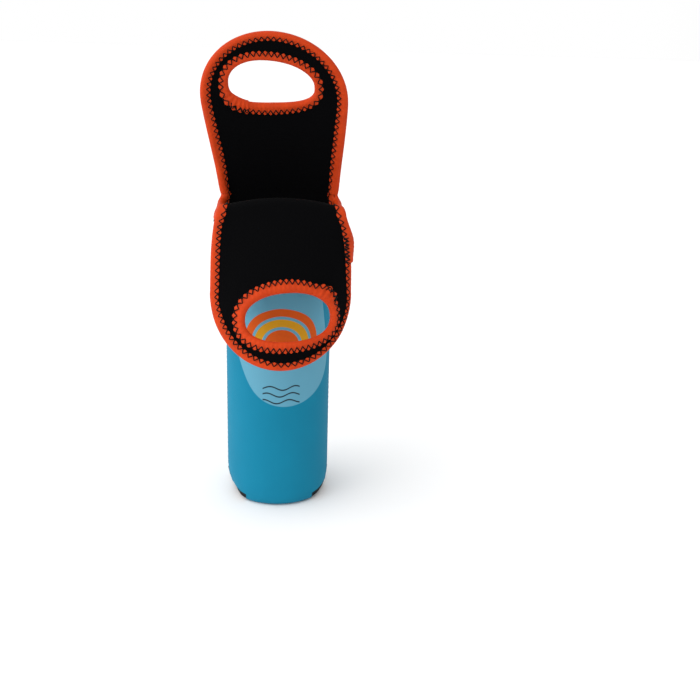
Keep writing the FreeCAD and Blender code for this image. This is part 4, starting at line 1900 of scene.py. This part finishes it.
class Carrier:
    """The bottle carrier: two panels, their bindings, seams and tacks."""

    def __init__(self) -> None:
        """Sets the sizes of the two panels from the frame's hinges."""
        front_hinge, back_hinge = hinge_point("front_fold"), hinge_point("back_fold")
        lean = math.sin(math.radians(15.0))
        front_wall = WallMap(-1, *front_hinge[1:], crest_rise=-1.8, crease_half=41.8)
        back_wall = WallMap(1, *back_hinge[1:], crest_rise=-0.8, crest_drop=2.8, lean_sine=lean, shift=2.0)
        flap = HandleMap(front_wall, half_width=49.8, draw_in=0.9, side_height=40.0, widest=61.0,
                         bow=40.0, length=118.5, hole_height=81.5, hole_half_length=32.2, hole_tilt=-4.3,
                         hole_shift=4.9, hole_half_height=18.6, fold_turn=math.radians(160.0),
                         pinch_length=20.0, sway=-1.5, sway_power=3.0, twist=0.2)
        grip = HandleMap(back_wall, half_width=54.9, draw_in=9.1, side_height=70.0, widest=73.0,
                         bow=5.0, length=122.2, hole_height=84.7, hole_half_length=33.6, hole_tilt=-1.2,
                         hole_shift=-1.7, hole_half_height=17.0, hole_egg=-0.1, hole_arch=3.1,
                         hole_power=2.4, sway=-8.5, taper=1.2, settle=12.0)
        self.front = Panel("front", front_wall, flap, ("front", "fold", "flap"), "front_flap")
        self.back = Panel("back", back_wall, grip, ("back", "grip"), "back_handle")

    def bind(self, tape: Tape, finishes: Finishes, ride: Callable[[bpy.types.Object], Any],
             *more: str) -> None:
        """Builds one tape and its stitching, and lets both ride.

        Args:
            tape: The tape.
            finishes: The carrier's finishes.
            ride: Called with each piece: ties it to its body, or bakes its placement.
            more: Further solids that the tape stands for.
        """
        piece, thread = tape.build(finishes), tape.stitches(finishes)
        dressed = ((piece, (f"{tape.name}_binding", *more), "tape_orange"),
                   (thread, (f"{tape.name}_stitch",), "thread_black"))
        for item, nodes, slot in dressed:
            ride(item)
            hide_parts(*nodes)
        width = 2.0 * (tape.width + LAMINATE.half + tape.thick)
        width * MM
        tape.line.length * MM

    def build_bindings(self, finishes: Finishes) -> None:
        """Binds the handles' edges, the hand holes and the rims between the handles.

        Args:
            finishes: The carrier's finishes.
        """
        front, back = self.front, self.back
        edge_lap = Lap(start=14.0, length=37.0, thick=0.6, out=4.5, hem=0.4)
        flap_edge = Tape(handle_edge(front.handle), "flap_edge", FLAP_WIDTHS, scallop=1.0, laps=(edge_lap,))
        self.bind(flap_edge, finishes, front.bend, "left_fold_binding", "right_fold_binding")
        self.bind(Tape(handle_edge(back.handle), "grip_edge", GRIP_WIDTHS, scallop=1.2), finishes, back.bend)
        flap_lap = Lap(start=146.0, length=14.0, thick=1.0, out=0.1, hem=3.4)
        grip_lap = Lap(start=88.0, length=22.0, thick=0.9, out=1.3, hem=0.8)
        holes = ((front, "flap_hole", FLAP_RING_WIDTHS, 3.9, flap_lap),
                 (back, "grip_hole", GRIP_RING_WIDTHS, 4.2, grip_lap))
        for panel, name, widths, pitch, lap in holes:
            tape = Tape(hole_edge(panel.handle), name, widths, wrinkle=0.2, laps=(lap,), pitch=pitch,
                        stitch_span=3.6, scallop=1.8)
            self.bind(tape, finishes, lambda piece, body=panel.body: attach(piece, body))
        for hand in Hand:
            line = crotch_edge(front.wall, back.wall, hand)
            tape = Tape(line, f"{hand.name.lower()}_crotch", RIM_WIDTHS[hand], wrinkle=0.16)
            self.bind(tape, finishes, lambda piece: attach(piece, "sleeve"))

    def build_seams(self, finishes: Finishes) -> None:
        """Sews the side and base seams and their tacks.

        Args:
            finishes: The carrier's finishes.
        """
        pieces = []
        for hand in Hand:
            name = hand.name.lower()
            seam = SideSeam(self.back.wall, hand).build(finishes, f"{name}_side_zigzag")
            pieces.append((seam, f"{name}_side_seam"))
        pieces.append((BaseSeam().build(finishes), "base_seam"))
        pieces.append((BarTacks(self.front.wall).build(finishes), "bar_tacks"))
        for piece, node in pieces:
            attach(piece, "sleeve")
            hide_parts(node)

    def build(self, finishes: Finishes) -> None:
        """Builds every piece.

        Args:
            finishes: The carrier's finishes.
        """
        self.front.build(finishes)
        self.back.build(finishes)
        self.build_bindings(finishes)
        self.build_seams(finishes)


@dataclass
class Studio:
    """Pale floor, soft light from the left and above, and the camera."""

    camera_place: tuple[float, float, float] = (-0.02675, -0.71535, 0.34962)
    pitch: float = 17.80
    yaw: float = 6.77
    roll: float = 1.67
    lens: float = 47.83
    sensor: float = 36.0
    floor_half: float = 400.0
    floor_points: int = 9
    floor_drop: float = 0.05
    dark_right: tuple[float, ...] = (0.38, 1.0, 1.0, 0.55)
    bright_left: tuple[float, ...] = (-1.0, -0.4, 2.4, 1.0)

    def floor(self) -> None:
        """Lays the floor: a square grid of points just under the carrier."""
        axis = np.linspace(-self.floor_half, self.floor_half, self.floor_points) / MM
        points = np.stack(np.meshgrid(axis, axis, [-self.floor_drop]), axis=-1).reshape(-1, 3)
        quads = grid_quads(numbered((self.floor_points, self.floor_points), 0))
        add_piece("floor", points, quads, points[:, :2], FloorFinish().make())

    def light(self, name: str, kind: str, place: Vector, target: Vector, **settings: float) -> None:
        """Hangs a light that faces a point.

        Args:
            name: Name of the light.
            kind: Blender's name of the light type.
            place: Where it hangs, in metres.
            target: Point that it faces.
            settings: Properties of the light.
        """
        data = bpy.data.lights.new(name, kind)
        for key, setting in settings.items():
            setattr(data, key, setting)
        light = add_object(name, data)
        light.location = place
        light.rotation_euler = (target - place).to_track_quat("-Z", "Y").to_euler()

    def surround(self) -> None:
        """Surrounds the studio with white that is brighter on the left and dark on the far right."""
        graph = Graph(bpy.data.worlds.new("studio"), "BACKGROUND")
        direction = graph.node("ShaderNodeTexCoord", {}, {})[0]
        across = graph.node("ShaderNodeSeparateXYZ", {}, {0: direction})[0]
        strengths = []
        for span in (self.dark_right, self.bright_left):
            inputs = {0: across, **dict(enumerate(span, 1))}
            strengths += graph.node("ShaderNodeMapRange", {"interpolation_type": "SMOOTHSTEP"}, inputs)[:1]
        strength = strengths[0] * strengths[1]
        bpy.context.scene.world = graph.finish(Color=(1.0, 1.0, 1.0), Strength=strength)

    def build(self) -> None:
        """Builds the floor, the lights, the world and the camera."""
        self.floor()
        key, sky, middle = Vector((-1.3, -0.9, 1.1)), Vector((-0.3, -0.35, 1.0)), Vector((0.0, 0.0, 0.2))
        self.light("key", "AREA", key, middle, size=0.9, energy=5.0)
        self.light("sky", "SUN", sky, Vector(), angle=math.radians(50.0), energy=0.45)
        self.surround()
        bpy.context.scene.view_settings.view_transform = "Standard"
        data = bpy.data.cameras.new("camera")
        data.lens = self.lens
        data.sensor_width = self.sensor
        camera = add_object("camera", data)
        camera.location = self.camera_place
        aim = Euler((math.radians(90.0 - self.pitch), 0.0, math.radians(-self.yaw))).to_matrix()
        camera.rotation_euler = (aim @ Matrix.Rotation(math.radians(self.roll), 3, "Z")).to_euler()
        bpy.context.scene.camera = camera


def main() -> None:
    """Builds the carrier and its studio."""
    logging.basicConfig(level=logging.INFO, format="%(name)s: %(message)s")
    Carrier().build(Finishes())
    Studio().build()


if __name__ == "__main__":
    main()
